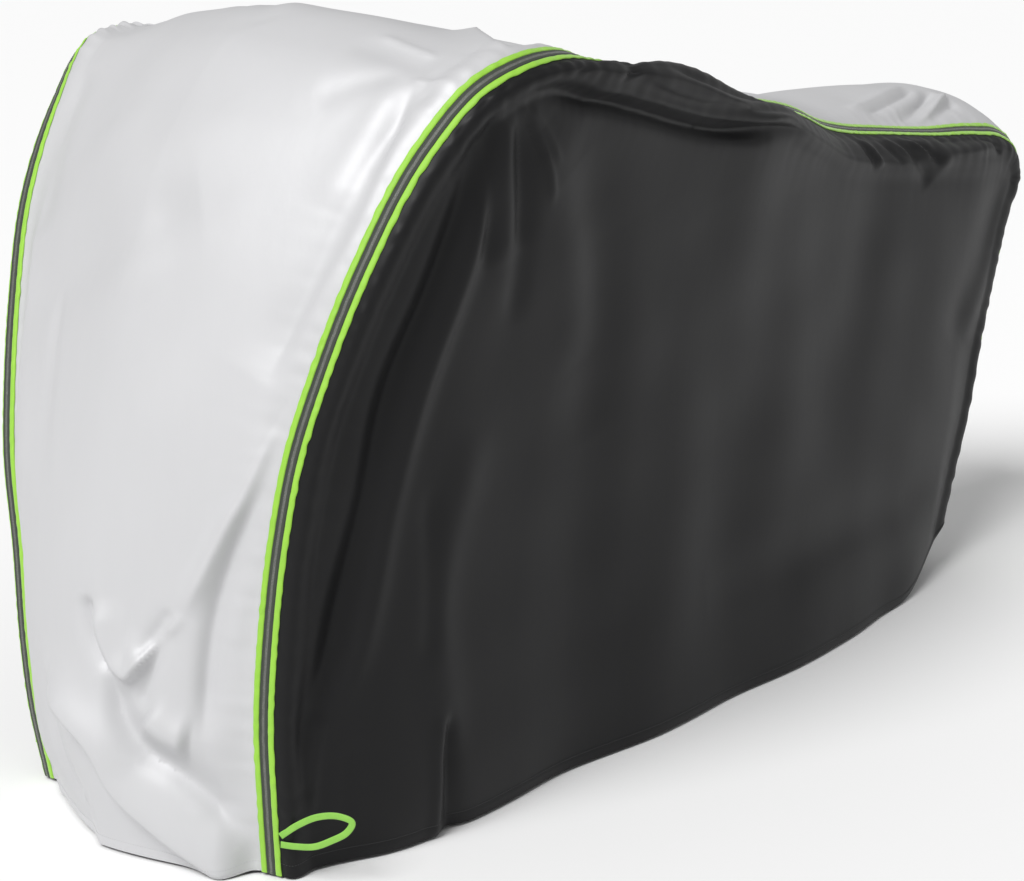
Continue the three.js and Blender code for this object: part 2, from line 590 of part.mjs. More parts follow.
// The nearest place on the flat band's inner edge, the outward way there, and the point as far out
// in the trim's plane.
function nearestBand({ frames, band }, point) {
  let best = { gap: Infinity };
  for (let k = 0; k < band.length - 1; k += 1) {
    const run = band[k + 1].clone().sub(band[k]);
    const t = Math.min(Math.max(point.clone().sub(band[k]).dot(run) / run.lengthSq(), 0), 1);
    const place = band[k].clone().addScaledVector(run, t);
    const gap = place.distanceTo(point);
    if (gap < best.gap) {
      const across = frames[k].across.clone().lerp(frames[k + 1].across, t).normalize();
      const out = frames[k].out.clone().lerp(frames[k + 1].out, t).normalize();
      best = { gap, out, flat: place.addScaledVector(across, gap) };
    }
  }
  return best;
}

// The side panel's grid with the seam edge added at its front and rear, and the ways to thicken it.
function sideSkin(side) {
  const { draped, normals, frames } = side;
  const columns = ACROSS_SIDE.length;
  const rows = UP_SIDE.length;
  const edgeFrames = {
    front: (i) => frames[i],
    top: (j) => frames[rows - 1 + j],
    rear: (i) => frames[frames.length - 1 - i],
  };
  const seamEdge = (frame) => beside(frame, PANEL_GAP / 2);
  const grid = draped.map((row, i) => (
    [seamEdge(edgeFrames.front(i)), ...row, seamEdge(edgeFrames.rear(i))]));
  const ways = normals.map((row, i) => [edgeFrames.front(i).out, ...row, edgeFrames.rear(i).out]);
  ways.forEach((row, i) => {
    row[1] = edgeFrames.front(i).out;
    row[columns] = edgeFrames.rear(i).out;
  });
  const topOut = ACROSS_SIDE.map((_, j) => edgeFrames.top(j).out);
  topOut.forEach((out, j) => { ways[rows - 1][j + 1] = out; });
  return { grid, ways, topOut, edgeFrames, columns, rows };
}

// Joins the skin of the side panel: the grid, and the seam edge along the top as a row of its own.
function buildSideMesh(side) {
  const { grid, ways, topOut, edgeFrames, columns, rows } = sideSkin(side);
  const sheets = thicken(grid, ways);
  const positions = [];
  const index = sheets.map((sheet) => sheet.map((row) => row.map((point) => {
    positions.push(...point.toArray());
    return positions.length / 3 - 1;
  })));
  const topEdge = [0.5, -0.5].map((half) => topOut.map((out, j) => {
    const point = beside(edgeFrames.top(j), PANEL_GAP / 2).addScaledVector(out, half * CLOTH);
    positions.push(...point.toArray());
    return positions.length / 3 - 1;
  }));
  const faces = [];
  const quad = (a, b, c, d, flip) => faces.push(...(flip ? [a, b, d, b, c, d] : [a, b, c, a, c, d]));
  for (let i = 0; i < rows - 1; i += 1) {
    for (let j = 0; j < columns + 1; j += 1) {
      const flip = j === 0 || j > columns / 2;
      quad(index[0][i][j], index[0][i][j + 1], index[0][i + 1][j + 1], index[0][i + 1][j], flip);
      quad(index[1][i][j], index[1][i + 1][j], index[1][i + 1][j + 1], index[1][i][j + 1], flip);
    }
  }
  for (let j = 0; j < columns - 1; j += 1) {
    quad(index[0][rows - 1][j + 1], index[0][rows - 1][j + 2], topEdge[0][j + 1], topEdge[0][j], false);
    quad(index[1][rows - 1][j + 1], topEdge[1][j], topEdge[1][j + 1], index[1][rows - 1][j + 2], false);
  }
  const rim = [];
  for (let j = 0; j <= columns; j += 1) rim.push([index[0][0][j], index[1][0][j]]);
  for (let i = 0; i < rows; i += 1) rim.push([index[0][i][columns + 1], index[1][i][columns + 1]]);
  for (let j = columns - 1; j >= 0; j -= 1) rim.push([topEdge[0][j], topEdge[1][j]]);
  for (let i = rows - 1; i >= 0; i -= 1) rim.push([index[0][i][0], index[1][i][0]]);
  rim.forEach(([outer, inner], k) => {
    const [nextOuter, nextInner] = rim[(k + 1) % rim.length];
    if (outer !== nextOuter) quad(outer, inner, nextInner, nextOuter, false);
  });
  return meshGeometry(positions, faces);
}

// Flat trim along the seam: a ribbon whose section is worked out at every station.
function trimGeometry(seam, from, to, thickness, edgeDrop) {
  const section = [
    [from, 0], [to, 0],
    [to - edgeDrop, thickness], [from + edgeDrop, thickness],
  ];
  const lift = CLOTH / 2 + TRIM_LIFT;
  const rings = seam.frames.map((frame) => section.map(([across, height]) => (
    beside(frame, across).addScaledVector(frame.out, lift + height))));
  return ribbonGeometry(rings);
}

// A closed ribbon through rings of four points, with a flat cap at each end.
function ribbonGeometry(rings) {
  const corners = rings[0].length;
  const faces = [];
  for (let i = 0; i < rings.length - 1; i += 1) {
    for (let k = 0; k < corners; k += 1) {
      const a = i * corners + k;
      const b = i * corners + ((k + 1) % corners);
      faces.push(a, a + corners, b, b, a + corners, b + corners);
    }
  }
  const end = (rings.length - 1) * corners;
  faces.push(0, 1, 2, 0, 2, 3, end, end + 2, end + 1, end, end + 3, end + 2);
  return meshGeometry(rings.flat().flatMap((point) => point.toArray()), faces);
}

// The webbing loop: a flat strap round a drop-shaped route that stands off the side panel.
function loopGeometry(seam) {
  const foot = seamKnots[0] + LOOP_HEIGHT;
  const frame = seam.at(foot);
  const root = beside(frame, TAPE_WIDTH / 2 + PIPING_GAP + PIPING_WIDTH)
    .addScaledVector(frame.out, CLOTH / 2 + LOOP_LIFT + LOOP_THICK / 2);
  const face = new THREE.Vector3(LOOP_STAND_OFF.y, -LOOP_STAND_OFF.x, 0);
  const route = new THREE.CatmullRomCurve3(LOOP_ROUTE.map((row) => root.clone()
    .addScaledVector(LOOP_STAND_OFF, row.along)
    .add(new THREE.Vector3(0, 0, row.up))));
  const rings = [];
  for (let i = 0; i <= LOOP_STEPS; i += 1) {
    const point = route.getPointAt(i / LOOP_STEPS);
    const way = route.getTangentAt(i / LOOP_STEPS);
    const side = new THREE.Vector3().crossVectors(way, face).normalize();
    rings.push([[-0.5, -0.5], [0.5, -0.5], [0.5, 0.5], [-0.5, 0.5]].map(([across, through]) => point.clone()
      .addScaledVector(side, across * LOOP_WIDTH)
      .addScaledVector(face, through * LOOP_THICK)));
  }
  return ribbonGeometry(rings);
}

// The same shape on the other side of the cover, with its faces turned to point out again.
function mirrored(geometry) {
  const copy = geometry.clone();
  copy.scale(1, -1, 1);
  const order = copy.getIndex();
  for (let i = 0; i < order.count; i += 3) {
    const first = order.getX(i);
    order.setX(i, order.getX(i + 1));
    order.setX(i + 1, first);
  }
  copy.computeVertexNormals();
  return copy;
}

function finish(color, roughness, metalness) {
  return new THREE.MeshStandardMaterial({ color, roughness, metalness });
}
const SILVER_CLOTH = finish(0xd4d4d6, 0.42, 0.25);
const BLACK_CLOTH = finish(0x2c2c2e, 0.5, 0.0);
const WOVEN_TAPE = finish(0x454a44, 0.7, 0.0);
const BRIGHT_PIPING = finish(0x9be02c, 0.6, 0.0);
const BRIGHT_WEBBING = finish(0x86d838, 0.65, 0.0);

const strip = buildStrip();
const stripSheets = thicken(strip.draped, strip.normals);
const pipingInner = TAPE_WIDTH / 2 + PIPING_GAP;
const pipingOuter = pipingInner + PIPING_WIDTH;
const tapeOn = (seam) => trimGeometry(seam, -TAPE_WIDTH / 2, TAPE_WIDTH / 2, TAPE_THICK, TAPE_EDGE);
const pipingOn = (seam, from, to) => trimGeometry(seam, from, to, PIPING_THICK, PIPING_EDGE);
const sideMesh = (seam, rows) => buildSideMesh(buildSide(sideFolds(rows), seam));

// Under the top, on the centre line, where the cover rests: the origin of the finished part.
const REST_STATION = UP_SIDE.length + 9;
const origin = stripSheets[1][REST_STATION][STRIP_CELLS / 2 + 1].clone();

const cover = new THREE.Group();
function addPiece(name, geometry, material) {
  const mesh = new THREE.Mesh(geometry, material);
  mesh.name = name;
  mesh.position.copy(origin).negate();
  cover.add(mesh);
}

const nearHalf = (i, j) => j <= STRIP_CELLS / 2;
addPiece('centre_panel', skinGeometry(stripSheets[0], stripSheets[1], nearHalf), SILVER_CLOTH);
addPiece('side_panel_left', sideMesh(nearSeam, NEAR_FOLDS), BLACK_CLOTH);
addPiece('side_panel_right', mirrored(sideMesh(farSeam, FAR_FOLDS)), BLACK_CLOTH);
addPiece('seam_tape_left', tapeOn(nearSeam), WOVEN_TAPE);
addPiece('seam_tape_right', mirrored(tapeOn(farSeam)), WOVEN_TAPE);
addPiece('piping_side_left', pipingOn(nearSeam, pipingInner, pipingOuter), BRIGHT_PIPING);
addPiece('piping_side_right', mirrored(pipingOn(farSeam, pipingInner, pipingOuter)), BRIGHT_PIPING);
addPiece('piping_centre_left', pipingOn(nearSeam, -pipingOuter, -pipingInner), BRIGHT_PIPING);
addPiece('piping_centre_right', mirrored(pipingOn(farSeam, -pipingOuter, -pipingInner)), BRIGHT_PIPING);
addPiece('tie_loop_left', loopGeometry(nearSeam), BRIGHT_WEBBING);
addPiece('tie_loop_right', mirrored(loopGeometry(farSeam)), BRIGHT_WEBBING);

export default cover;
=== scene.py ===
"""A fitted motorcycle cover as it hangs in use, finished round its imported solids.

A silver centre strip runs from the front hem over the top and down the back, with a black panel on
each side. Along both seams lies a woven tape between two bright pipings, and a webbing loop is sewn
in at the foot of each front seam. Lengths are metres. While the shape is worked out, x runs back from
the foot of the front seam, y across with the near side negative, and z up from the hem.
"""
import logging
import math
from dataclasses import dataclass, field
from enum import Enum
from typing import Callable, NamedTuple, Sequence

import bmesh
import bpy
import numpy as np
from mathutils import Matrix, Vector
from mathutils.kdtree import KDTree


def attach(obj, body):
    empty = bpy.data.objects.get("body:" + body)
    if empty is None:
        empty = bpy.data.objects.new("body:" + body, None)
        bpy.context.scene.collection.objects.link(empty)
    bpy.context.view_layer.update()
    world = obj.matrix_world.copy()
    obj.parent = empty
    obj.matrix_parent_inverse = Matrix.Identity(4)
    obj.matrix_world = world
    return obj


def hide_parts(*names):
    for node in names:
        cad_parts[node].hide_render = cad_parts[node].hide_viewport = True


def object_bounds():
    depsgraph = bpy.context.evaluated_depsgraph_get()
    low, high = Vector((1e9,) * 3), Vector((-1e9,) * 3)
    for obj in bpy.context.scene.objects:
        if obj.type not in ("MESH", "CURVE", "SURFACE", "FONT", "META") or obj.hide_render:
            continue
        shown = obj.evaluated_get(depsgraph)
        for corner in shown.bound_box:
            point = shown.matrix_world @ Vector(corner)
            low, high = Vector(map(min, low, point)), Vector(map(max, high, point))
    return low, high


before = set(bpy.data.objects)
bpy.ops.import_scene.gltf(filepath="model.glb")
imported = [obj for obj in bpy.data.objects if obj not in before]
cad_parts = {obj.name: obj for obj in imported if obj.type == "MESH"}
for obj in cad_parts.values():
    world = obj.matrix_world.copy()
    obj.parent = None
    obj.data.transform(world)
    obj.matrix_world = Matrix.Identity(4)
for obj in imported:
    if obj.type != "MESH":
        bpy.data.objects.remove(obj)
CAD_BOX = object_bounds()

log = logging.getLogger("cover")

Array = np.ndarray
Edge = Callable[[Array], Array]
Color = tuple[float, float, float]
Pairs = tuple[tuple[float, float], ...]

BODY = "root"
TINY = 1e-9
# How many points stand for a whole line where it is measured, for a grid and for the webbing loop.
FINE_POINTS = 4001
LOOP_POINTS = 2001
# Where the finished part's origin lies, under the top on the centre line.
ORIGIN = np.array([0.832114, 0.0, 1.121830])


class SeamRow(NamedTuple):
    """One place of the seam: the seam itself, the strip's centre line, and the curve across it."""

    x: float
    half: float
    z: float
    mid_x: float
    mid_z: float
    round: float


FRONT_SEAM = tuple(SeamRow(*row) for row in (
    (0, 0.27, 0, -0.105, 0, 1.75), (-0.016, 0.282, 0.127, -0.122, 0.127, 1.75),
    (-0.022, 0.286, 0.23, -0.13, 0.235, 1.72), (-0.018, 0.297, 0.385, -0.124, 0.392, 1.7),
    (-0.011, 0.317, 0.53, -0.105, 0.545, 1.68), (0.008, 0.331, 0.645, -0.08, 0.665, 1.65),
    (0.04, 0.353, 0.761, -0.042, 0.79, 1.6), (0.094, 0.384, 0.908, 0.018, 0.945, 1.5),
    (0.188, 0.414, 1.064, 0.112, 1.105, 1.4), (0.27, 0.442, 1.148, 0.215, 1.2, 1.3),
    (0.34, 0.455, 1.175, 0.308, 1.235, 1.17), (0.415, 0.452, 1.181, 0.42, 1.213, 1.25),
))
TOP_SEAM = tuple(SeamRow(*row) for row in (
    (0.52, 0.428, 1.162, 0.55, 1.183, 1.5), (0.7, 0.375, 1.119, 0.73, 1.15, 1.8),
    (0.85, 0.335, 1.084, 0.865, 1.114, 2), (1, 0.302, 1.052, 1.005, 1.08, 2),
    (1.16, 0.272, 1.028, 1.16, 1.052, 2), (1.3, 0.24, 0.998, 1.31, 1.024, 2),
    (1.4, 0.22, 0.966, 1.43, 1.004, 2), (1.5, 0.203, 0.946, 1.54, 0.984, 2),
    (1.64, 0.189, 0.928, 1.67, 0.984, 2), (1.83, 0.175, 0.906, 1.86, 0.981, 2),
    (2, 0.168, 0.893, 2.015, 0.968, 2.1), (2.095, 0.165, 0.878, 2.118, 0.938, 2.3),
))
REAR_SEAM = tuple(SeamRow(*row) for row in (
    (2.158, 0.162, 0.845, 2.178, 0.888, 2.4), (2.184, 0.16, 0.79, 2.204, 0.812, 2.2),
    (2.15, 0.16, 0.7, 2.178, 0.703, 2), (2.11, 0.162, 0.59, 2.14, 0.592, 2),
    (2.066, 0.166, 0.47, 2.098, 0.47, 2), (2.022, 0.171, 0.33, 2.054, 0.33, 2),
    (1.962, 0.176, 0.19, 1.992, 0.19, 2), (1.92, 0.18, 0.095, 1.95, 0.095, 2),
))


class HemRow(NamedTuple):
    """One place of the side panel's hem between the two seams."""

    x: float
    half: float
    z: float


SIDE_HEM = tuple(HemRow(*row) for row in (
    (0.076, 0.307, 0), (0.174, 0.343, 0), (0.309, 0.352, 0), (0.442, 0.344, 0), (0.585, 0.328, 0),
    (0.7, 0.332, 0), (0.82, 0.341, 0), (1.011, 0.324, 0), (1.262, 0.318, 0), (1.425, 0.302, 0),
    (1.57, 0.275, 0), (1.69, 0.251, 0.002), (1.778, 0.228, 0.03), (1.856, 0.205, 0.062),
))


# How far the cloth of the shoulder stands out and up, after the distance down from the top seam.
SHOULDER = (
    (0, 0, 0), (0.015, 0.012, 0.02), (0.032, 0.026, 0.046), (0.058, 0.046, 0.058),
    (0.085, 0.068, 0.061), (0.107, 0.084, 0.06), (0.124, 0.08, 0.058), (0.142, 0.071, 0.055),
    (0.175, 0.068, 0.052), (0.26, 0.061, 0.046), (0.45, 0.042, 0.032), (0.8, 0.012, 0.01),
    (1.4, 0, 0),
)
# What shares of the two count, after the share of the way from the front to the rear end of that seam.
SHOULDER_STRENGTH = (
    (0, 0, 0), (0.03, 0.18, 0.16), (0.06, 0.35, 0.32), (0.1, 0.52, 0.4), (0.13, 0.65, 0.46),
    (0.165, 0.75, 0.66), (0.21, 0.86, 0.8), (0.28, 0.97, 0.8), (0.36, 1, 0.54),
    (0.44, 0.98, 0.36), (0.5, 0.85, 0.12), (0.56, 0.7, 0.04), (0.62, 0.55, 0.02),
    (0.68, 0.44, 0.04), (0.74, 0.4, 0.08), (0.85, 0.36, 0.14), (0.94, 0.2, 0.12), (1, 0, 0),
)

# The next tables hold pairs: a distance along the seam, and the value there.
# How far the trim's plane is turned round the seam, towards the strip's own plane, in degrees.
NEAR_TURN: Pairs = (
    (0, 30), (0.9, 28), (1.2, 16), (1.36, 4), (1.5, 0), (1.7, -3), (1.85, -8), (2, -14),
    (2.15, -18), (2.3, -18), (2.45, -12), (2.6, -4), (2.8, 2), (3.0, 2), (3.2, 0), (4.1, 0),
)
FAR_TURN: Pairs = (
    (0, 46), (0.2, 52), (0.85, 54), (1, 50), (1.1, 40), (1.18, 26), (1.26, 10), (1.34, 0),
    (1.5, -5), (1.7, -6), (1.85, -8), (2, -14), (2.15, -20), (2.3, -25), (2.45, -26), (2.6, -20),
    (2.8, -13), (3.05, -6), (3.2, 0), (4.1, 0),
)
# How far the outer piping and the side panel's edge are bent back from the plane of the trim.
FAR_BEND: Pairs = (
    (0, 48), (0.2, 56), (0.85, 58), (1, 54), (1.1, 44), (1.18, 30), (1.26, 14), (1.36, 0), (1.5, 0),
    (4.1, 0),
)
# How far the far seam hangs lower than the near one, in metres.
FAR_DROP: Pairs = (
    (0, 0), (1.2, 0), (1.25, 0.003), (1.29, 0.012), (1.34, 0.017), (1.4, 0.022), (1.48, 0.022),
    (1.58, 0.012), (1.74, 0.002), (1.9, 0), (4.1, 0),
)
# No turn, bend or drop at all.
NOWHERE: Pairs = ((0, 0), (2, 0), (4.1, 0))


def smooth(share: Array | float) -> Array:
    """Eases a share from 0 to 1, held at both ends."""
    held = np.clip(share, 0.0, 1.0)
    return held * held * (3.0 - 2.0 * held)


def unit(vectors: Array) -> Array:
    """Scales vectors to a length of one."""
    return vectors / np.maximum(np.linalg.norm(vectors, axis=-1, keepdims=True), TINY)


def dot(a: Array, b: Array) -> Array:
    """The dot product of two fields of vectors, kept as a column."""
    return np.sum(a * b, axis=-1, keepdims=True)


def distances_along(points: Array) -> Array:
    """Distances run along a line of points, from zero at its start."""
    return np.concatenate([[0.0], np.cumsum(np.linalg.norm(np.diff(points, axis=0), axis=1))])


def mirrored(points: Array) -> Array:
    """The same points, or vectors, on the other side of the cover."""
    return points * np.array([1.0, -1.0, 1.0])


def grid_normals(grid: Array) -> Array:
    """The way out of a grid of points at each point, from its rows and columns."""
    rows = np.gradient(grid, axis=0)
    columns = np.gradient(grid, axis=1)
    return unit(np.cross(rows, columns))


def points_at(places: Array, run: Array, line: Array) -> Array:
    """Points of a line at places along it, from the distances run to the line's own points."""
    return np.stack([np.interp(places, run, line[:, c]) for c in range(3)], axis=-1)


def nearest_of(points: Array, places: Array) -> Array:
    """The number of the nearest place for each point of a row."""
    tree = KDTree(len(places))
    for k, place in enumerate(places):
        tree.insert(place, k)
    tree.balance()
    return np.array([tree.find(point)[1] for point in points])


def odd_lines(count: int) -> Array:
    """The numbers of a grid's lines, without the middle one where there is an even number of them."""
    return np.arange(count) if count % 2 else np.delete(np.arange(count), count // 2)


def grid_lines(length: float, cells: Pairs) -> Array:
    """Spreads grid lines over a length so that their spacing follows a profile.

    Args:
        length: The length to divide.
        cells: Pairs of a share of the length and the cell's size there.

    Returns:
        The lines' places as shares of the length, an even number of cells.
    """
    shares, sizes = np.array(cells).T
    fine = np.linspace(0.0, 1.0, FINE_POINTS)
    cells_each = np.diff(fine) * length / np.interp(fine[1:], shares, sizes)
    count = np.concatenate([[0.0], np.cumsum(cells_each)])
    total = 2 * math.ceil(count[-1] / 2)
    return np.interp(np.linspace(0.0, count[-1], total + 1), count, fine)


class Curve:
    """A smooth curve through rows of numbers: cubic pieces whose slopes come from the neighbours."""

    def __init__(self, knots: Array, rows: Array) -> None:
        """Fits the slopes.

        Args:
            knots: Where along the curve each row lies, rising.
            rows: The values at the knots, one row each.
        """
        self.knots = np.asarray(knots, float)
        self.rows = np.asarray(rows, float)
        self.steps = np.diff(self.knots)
        rising = np.diff(self.rows, axis=0) / self.steps[:, None]
        self.slopes = np.empty_like(self.rows)
        self.slopes[0] = rising[0]
        self.slopes[-1] = rising[-1]
        before = self.steps[:-1, None]
        after = self.steps[1:, None]
        self.slopes[1:-1] = (rising[:-1] * after + rising[1:] * before) / (before + after)

    @classmethod
    def through(cls, rows: Sequence[Sequence[float]]) -> "Curve":
        """The curve through a table's rows, each with its place as the first number."""
        table = np.array(rows, float)
        return cls(table[:, 0], table[:, 1:])

    def __call__(self, at: Array) -> Array:
        """Reads the curve.

        Args:
            at: Places along the curve, of any shape.

        Returns:
            The values there, with the row's values on the last axis.
        """
        at = np.asarray(at, float)
        i = np.clip(np.searchsorted(self.knots, at, side="right") - 1, 0, len(self.steps) - 1)
        h = self.steps[i][..., None]
        t = (at[..., None] - self.knots[i][..., None]) / h
        return (
            self.rows[i] * (1 + 2 * t) * (1 - t) ** 2
            + self.slopes[i] * h * t * (1 - t) ** 2
            + self.rows[i + 1] * t * t * (3 - 2 * t)
            + self.slopes[i + 1] * h * t * t * (t - 1)
        )


@dataclass(frozen=True)
class Fold:
    """A ridge along a bent line, or a trough where rise is negative.

    Attributes:
        line: Places that the fold runs through, on the panel's own two measures.
        width: How far the fold reaches to each side.
        rise: Its height over the cloth.
        lean: Above 0 its left side, seen along the line, is the wider one, below 0 its right side.
        crisp: 2 is a soft swell, and towards 1 the fold comes to a sharp line.
        flare: How many times as wide the fold is at its far end.
        ends: Whether the fold fades at its start and at its end.
    """

    line: Pairs
    width: float
    rise: float
    lean: float = 0.0
    crisp: float = 2.0
    flare: float = 1.0
    ends: tuple[bool, bool] = (True, True)

    # How finely the path is stepped, and how many widths away the fold still counts.
    STEPS = 9
    REACH = 3.0
    # Over what share of the line an end fades, what it fades from, and how evenly.
    MEET = 0.22
    LEAST = 0.12
    FADE = 0.75
    # Over what share of the width the lean changes from one side to the other.
    TURN_OVER = 0.3

    def path(self) -> Array:
        """The fold's line as a row of close points."""
        places = np.array(self.line)
        knots = distances_along(places)
        curve = Curve(knots, places)
        return curve(np.linspace(0.0, knots[-1], self.STEPS * (len(places) - 1) + 1))

    def height(self, a: Array, b: Array) -> Array:
        """Works out how far this fold lifts the cloth.

        Args:
            a: The first measure of each place.
            b: The second measure of each place.

        Returns:
            The height at each place.
        """
        path = self.path()
        reach = self.REACH * self.width * max(1.0, self.flare) * (1 + abs(self.lean))
        low = path.min(axis=0) - reach
        high = path.max(axis=0) + reach
        near = (a > low[0]) & (a < high[0]) & (b > low[1]) & (b < high[1])
        height = np.zeros_like(a)
        if not near.any():
            return height
        places = np.stack([a[near], b[near]], axis=-1)
        start = path[:-1]
        run = path[1:] - start
        length_sq = np.maximum((run**2).sum(axis=1), TINY**2)
        offset = places[:, None, :] - start[None]
        t = np.clip((offset * run[None]).sum(axis=2) / length_sq, 0.0, 1.0)
        gap = np.linalg.norm(offset - run[None] * t[..., None], axis=2)
        best = gap.argmin(axis=1)
        rows = np.arange(len(best))
        turn = run[best, 0] * offset[rows, best, 1] - run[best, 1] * offset[rows, best, 0]
        share = (best + t[rows, best]) / len(run)
        side = np.tanh(turn / (np.sqrt(length_sq[best]) * self.width * self.TURN_OVER))
        width = self.width * (1 + (self.flare - 1) * share) * (1 + self.lean * side)
        profile = np.exp(-((gap[rows, best] / width) ** self.crisp))
        height[near] = self.rise * profile * self.fade(share)
        return height

    def fade(self, share: Array) -> Array:
        """How strong the fold is along its line, from its start at 0 to its end at 1."""
        start = smooth(share / self.MEET + self.LEAST) ** self.FADE if self.ends[0] else 1.0
        end = smooth((1 - share) / self.MEET + self.LEAST) ** self.FADE if self.ends[1] else 1.0
        return start * end


@dataclass(frozen=True)
class Ripples:
    """Small uneven waves of slack cloth, the sum of many seeded plane waves.

    Attributes:
        height: About how high the waves are.
        length: Their usual length.
        seed: Chooses the waves.
        turn: How far the waves may turn from running across the first measure, in radians.
        count: How many plane waves are summed.
    """

    height: float
    length: float
    seed: int
    turn: float = math.pi
    count: int = 28

    # The shortest and the longest waves, as shares of the usual length.
    SPREAD = (0.6, 1.7)

    def at(self, a: Array, b: Array) -> Array:
        """The waves' height at each place, given by its two measures."""
        draw = np.random.default_rng(self.seed)
        total = np.zeros_like(a)
        for _ in range(self.count):
            angle = draw.uniform(-self.turn, self.turn)
            number = 2 * math.pi / (self.length * draw.uniform(*self.SPREAD))
            phase = draw.uniform(0.0, 2 * math.pi)
            total += np.cos(number * (a * math.cos(angle) + b * math.sin(angle)) + phase)
        return total * self.height / math.sqrt(self.count / 2)


@dataclass
class Frames:
    """The seam's own axes at a row of places.

    Attributes:
        along: Distance along the seam.
        point: The seam's points.
        way: The way along the seam.
        across: The way across it, from the strip to the side panel.
        out: The way out of the cover.
        bend: How far the side panel's edge is bent back beyond the tape, in radians.
    """

    along: Array
    point: Array
    way: Array
    across: Array
    out: Array
    bend: Array

    # How far beside the seam the bend lies.
    BEND_AT = 0.0072

    def beside(self, distance: float, height: float | Array = 0.0) -> Array:
        """Finds the points beside the seam.

        Args:
            distance: How far across they lie, towards the side panel where positive.
            height: How far they lie out from the cloth's middle.

        Returns:
            The points.
        """
        beyond = max(distance - self.BEND_AT, 0.0)
        across, out = self.bent() if beyond else (self.across, self.out)
        return self.point + self.across * (distance - beyond) + across * beyond + out * height

    def bent(self) -> tuple[Array, Array]:
        """The ways across and out for what lies beyond the bend."""
        turn = self.bend[:, None]
        return (
            self.across * np.cos(turn) - self.out * np.sin(turn),
            self.out * np.cos(turn) + self.across * np.sin(turn),
        )


@dataclass
class SidePatch:
    """A side panel's surface between four edges, with its shoulder and the fuller cloth at the hem.

    Attributes:
        front: The front edge, by the share of the way up.
        rear: The rear edge, by the share of the way up.
        top: The top edge, by the share of the way back.
        hem: The hem, by the share of the way back.
        hem_tuck: How far the cloth over the hem stands out.
        hem_tuck_reach: Over what height it comes out.
        hem_ease: At each end of the hem, the share of it over which that fades.
        shoulder_foot: Up to what share of the height the shoulder's rise fades in.
    """

    front: Edge
    rear: Edge
    top: Edge
    hem: Edge
    hem_tuck: float = 0.012
    hem_tuck_reach: float = 0.055
    hem_ease: float = 1 / 12
    shoulder_foot: float = 1 / 3

    SHAPE = Curve.through(SHOULDER)
    STRENGTH = Curve.through(SHOULDER_STRENGTH)

    def fall(self, u: Array) -> Array:
        """How long the straight fall of the cloth is at each share of the way back."""
        return np.linalg.norm(self.top(u) - self.hem(u), axis=-1)

    def point(self, u: Array, v: Array) -> Array:
        """Finds points of the panel.

        Args:
            u: Shares of the way from the front edge to the rear one.
            v: Shares of the way from the hem to the top edge.

        Returns:
            The points.
        """
        return self.spread(u, v, self.front(v), self.rear(v), self.top(u), self.hem(u))

    def grid(self, u: Array, v: Array) -> Array:
        """Finds the points of a whole grid, with each edge worked out once.

        Args:
            u: The grid's shares of the way back, one row.
            v: The grid's shares of the way up, one row.

        Returns:
            The points, with a row for each share of the way up.
        """
        back, up = np.meshgrid(u, v)
        edges = (self.front(v)[:, None], self.rear(v)[:, None], self.top(u)[None], self.hem(u)[None])
        return self.spread(back, up, *(np.broadcast_to(edge, (*back.shape, 3)) for edge in edges))

    def spread(
        self, u: Array, v: Array, front: Array, rear: Array, top: Array, hem: Array
    ) -> Array:
        """Spreads the cloth between its four edges, with the shoulder and the fuller cloth at the hem.

        Args:
            u: Shares of the way back.
            v: Shares of the way up.
            front: The front edge's points for these.
            rear: The rear edge's points.
            top: The top edge's points.
            hem: The hem's points.

        Returns:
            The cloth's points.
        """
        across = u[..., None]
        up = v[..., None]
        corner = [edge(np.array([end])) for end in (0.0, 1.0) for edge in (self.front, self.rear)]
        point = (
            (1 - across) * front + across * rear + (1 - up) * hem + up * top
            - (1 - across) * (1 - up) * corner[0] - across * (1 - up) * corner[1]
            - (1 - across) * up * corner[2] - across * up * corner[3]
        )
        fall = np.linalg.norm(top - hem, axis=-1)
        shape = self.SHAPE((1 - v) * fall)
        strength = self.STRENGTH(u)
        tuck = self.hem_tuck * (1 - np.exp(-v * fall / self.hem_tuck_reach)) * (1 - v)
        ease = smooth(u / self.hem_ease) * smooth((1 - u) / self.hem_ease)
        point[..., 1] -= shape[..., 0] * strength[..., 0] + tuck * ease
        point[..., 2] += shape[..., 1] * strength[..., 1] * np.minimum(1.0, v / self.shoulder_foot)
        return point


def hem_between(start: Array, end: Array) -> Edge:
    """The side panel's hem between two given end points.

    Args:
        start: Where the hem begins at the front.
        end: Where it ends at the rear.

    Returns:
        The hem's curve by the share of the way back.
    """
    rows = np.array([start, *([row.x, -row.half, row.z] for row in SIDE_HEM), end])
    knots = distances_along(rows)
    curve = Curve(knots, rows)
    return lambda u: curve(np.asarray(u) * knots[-1])


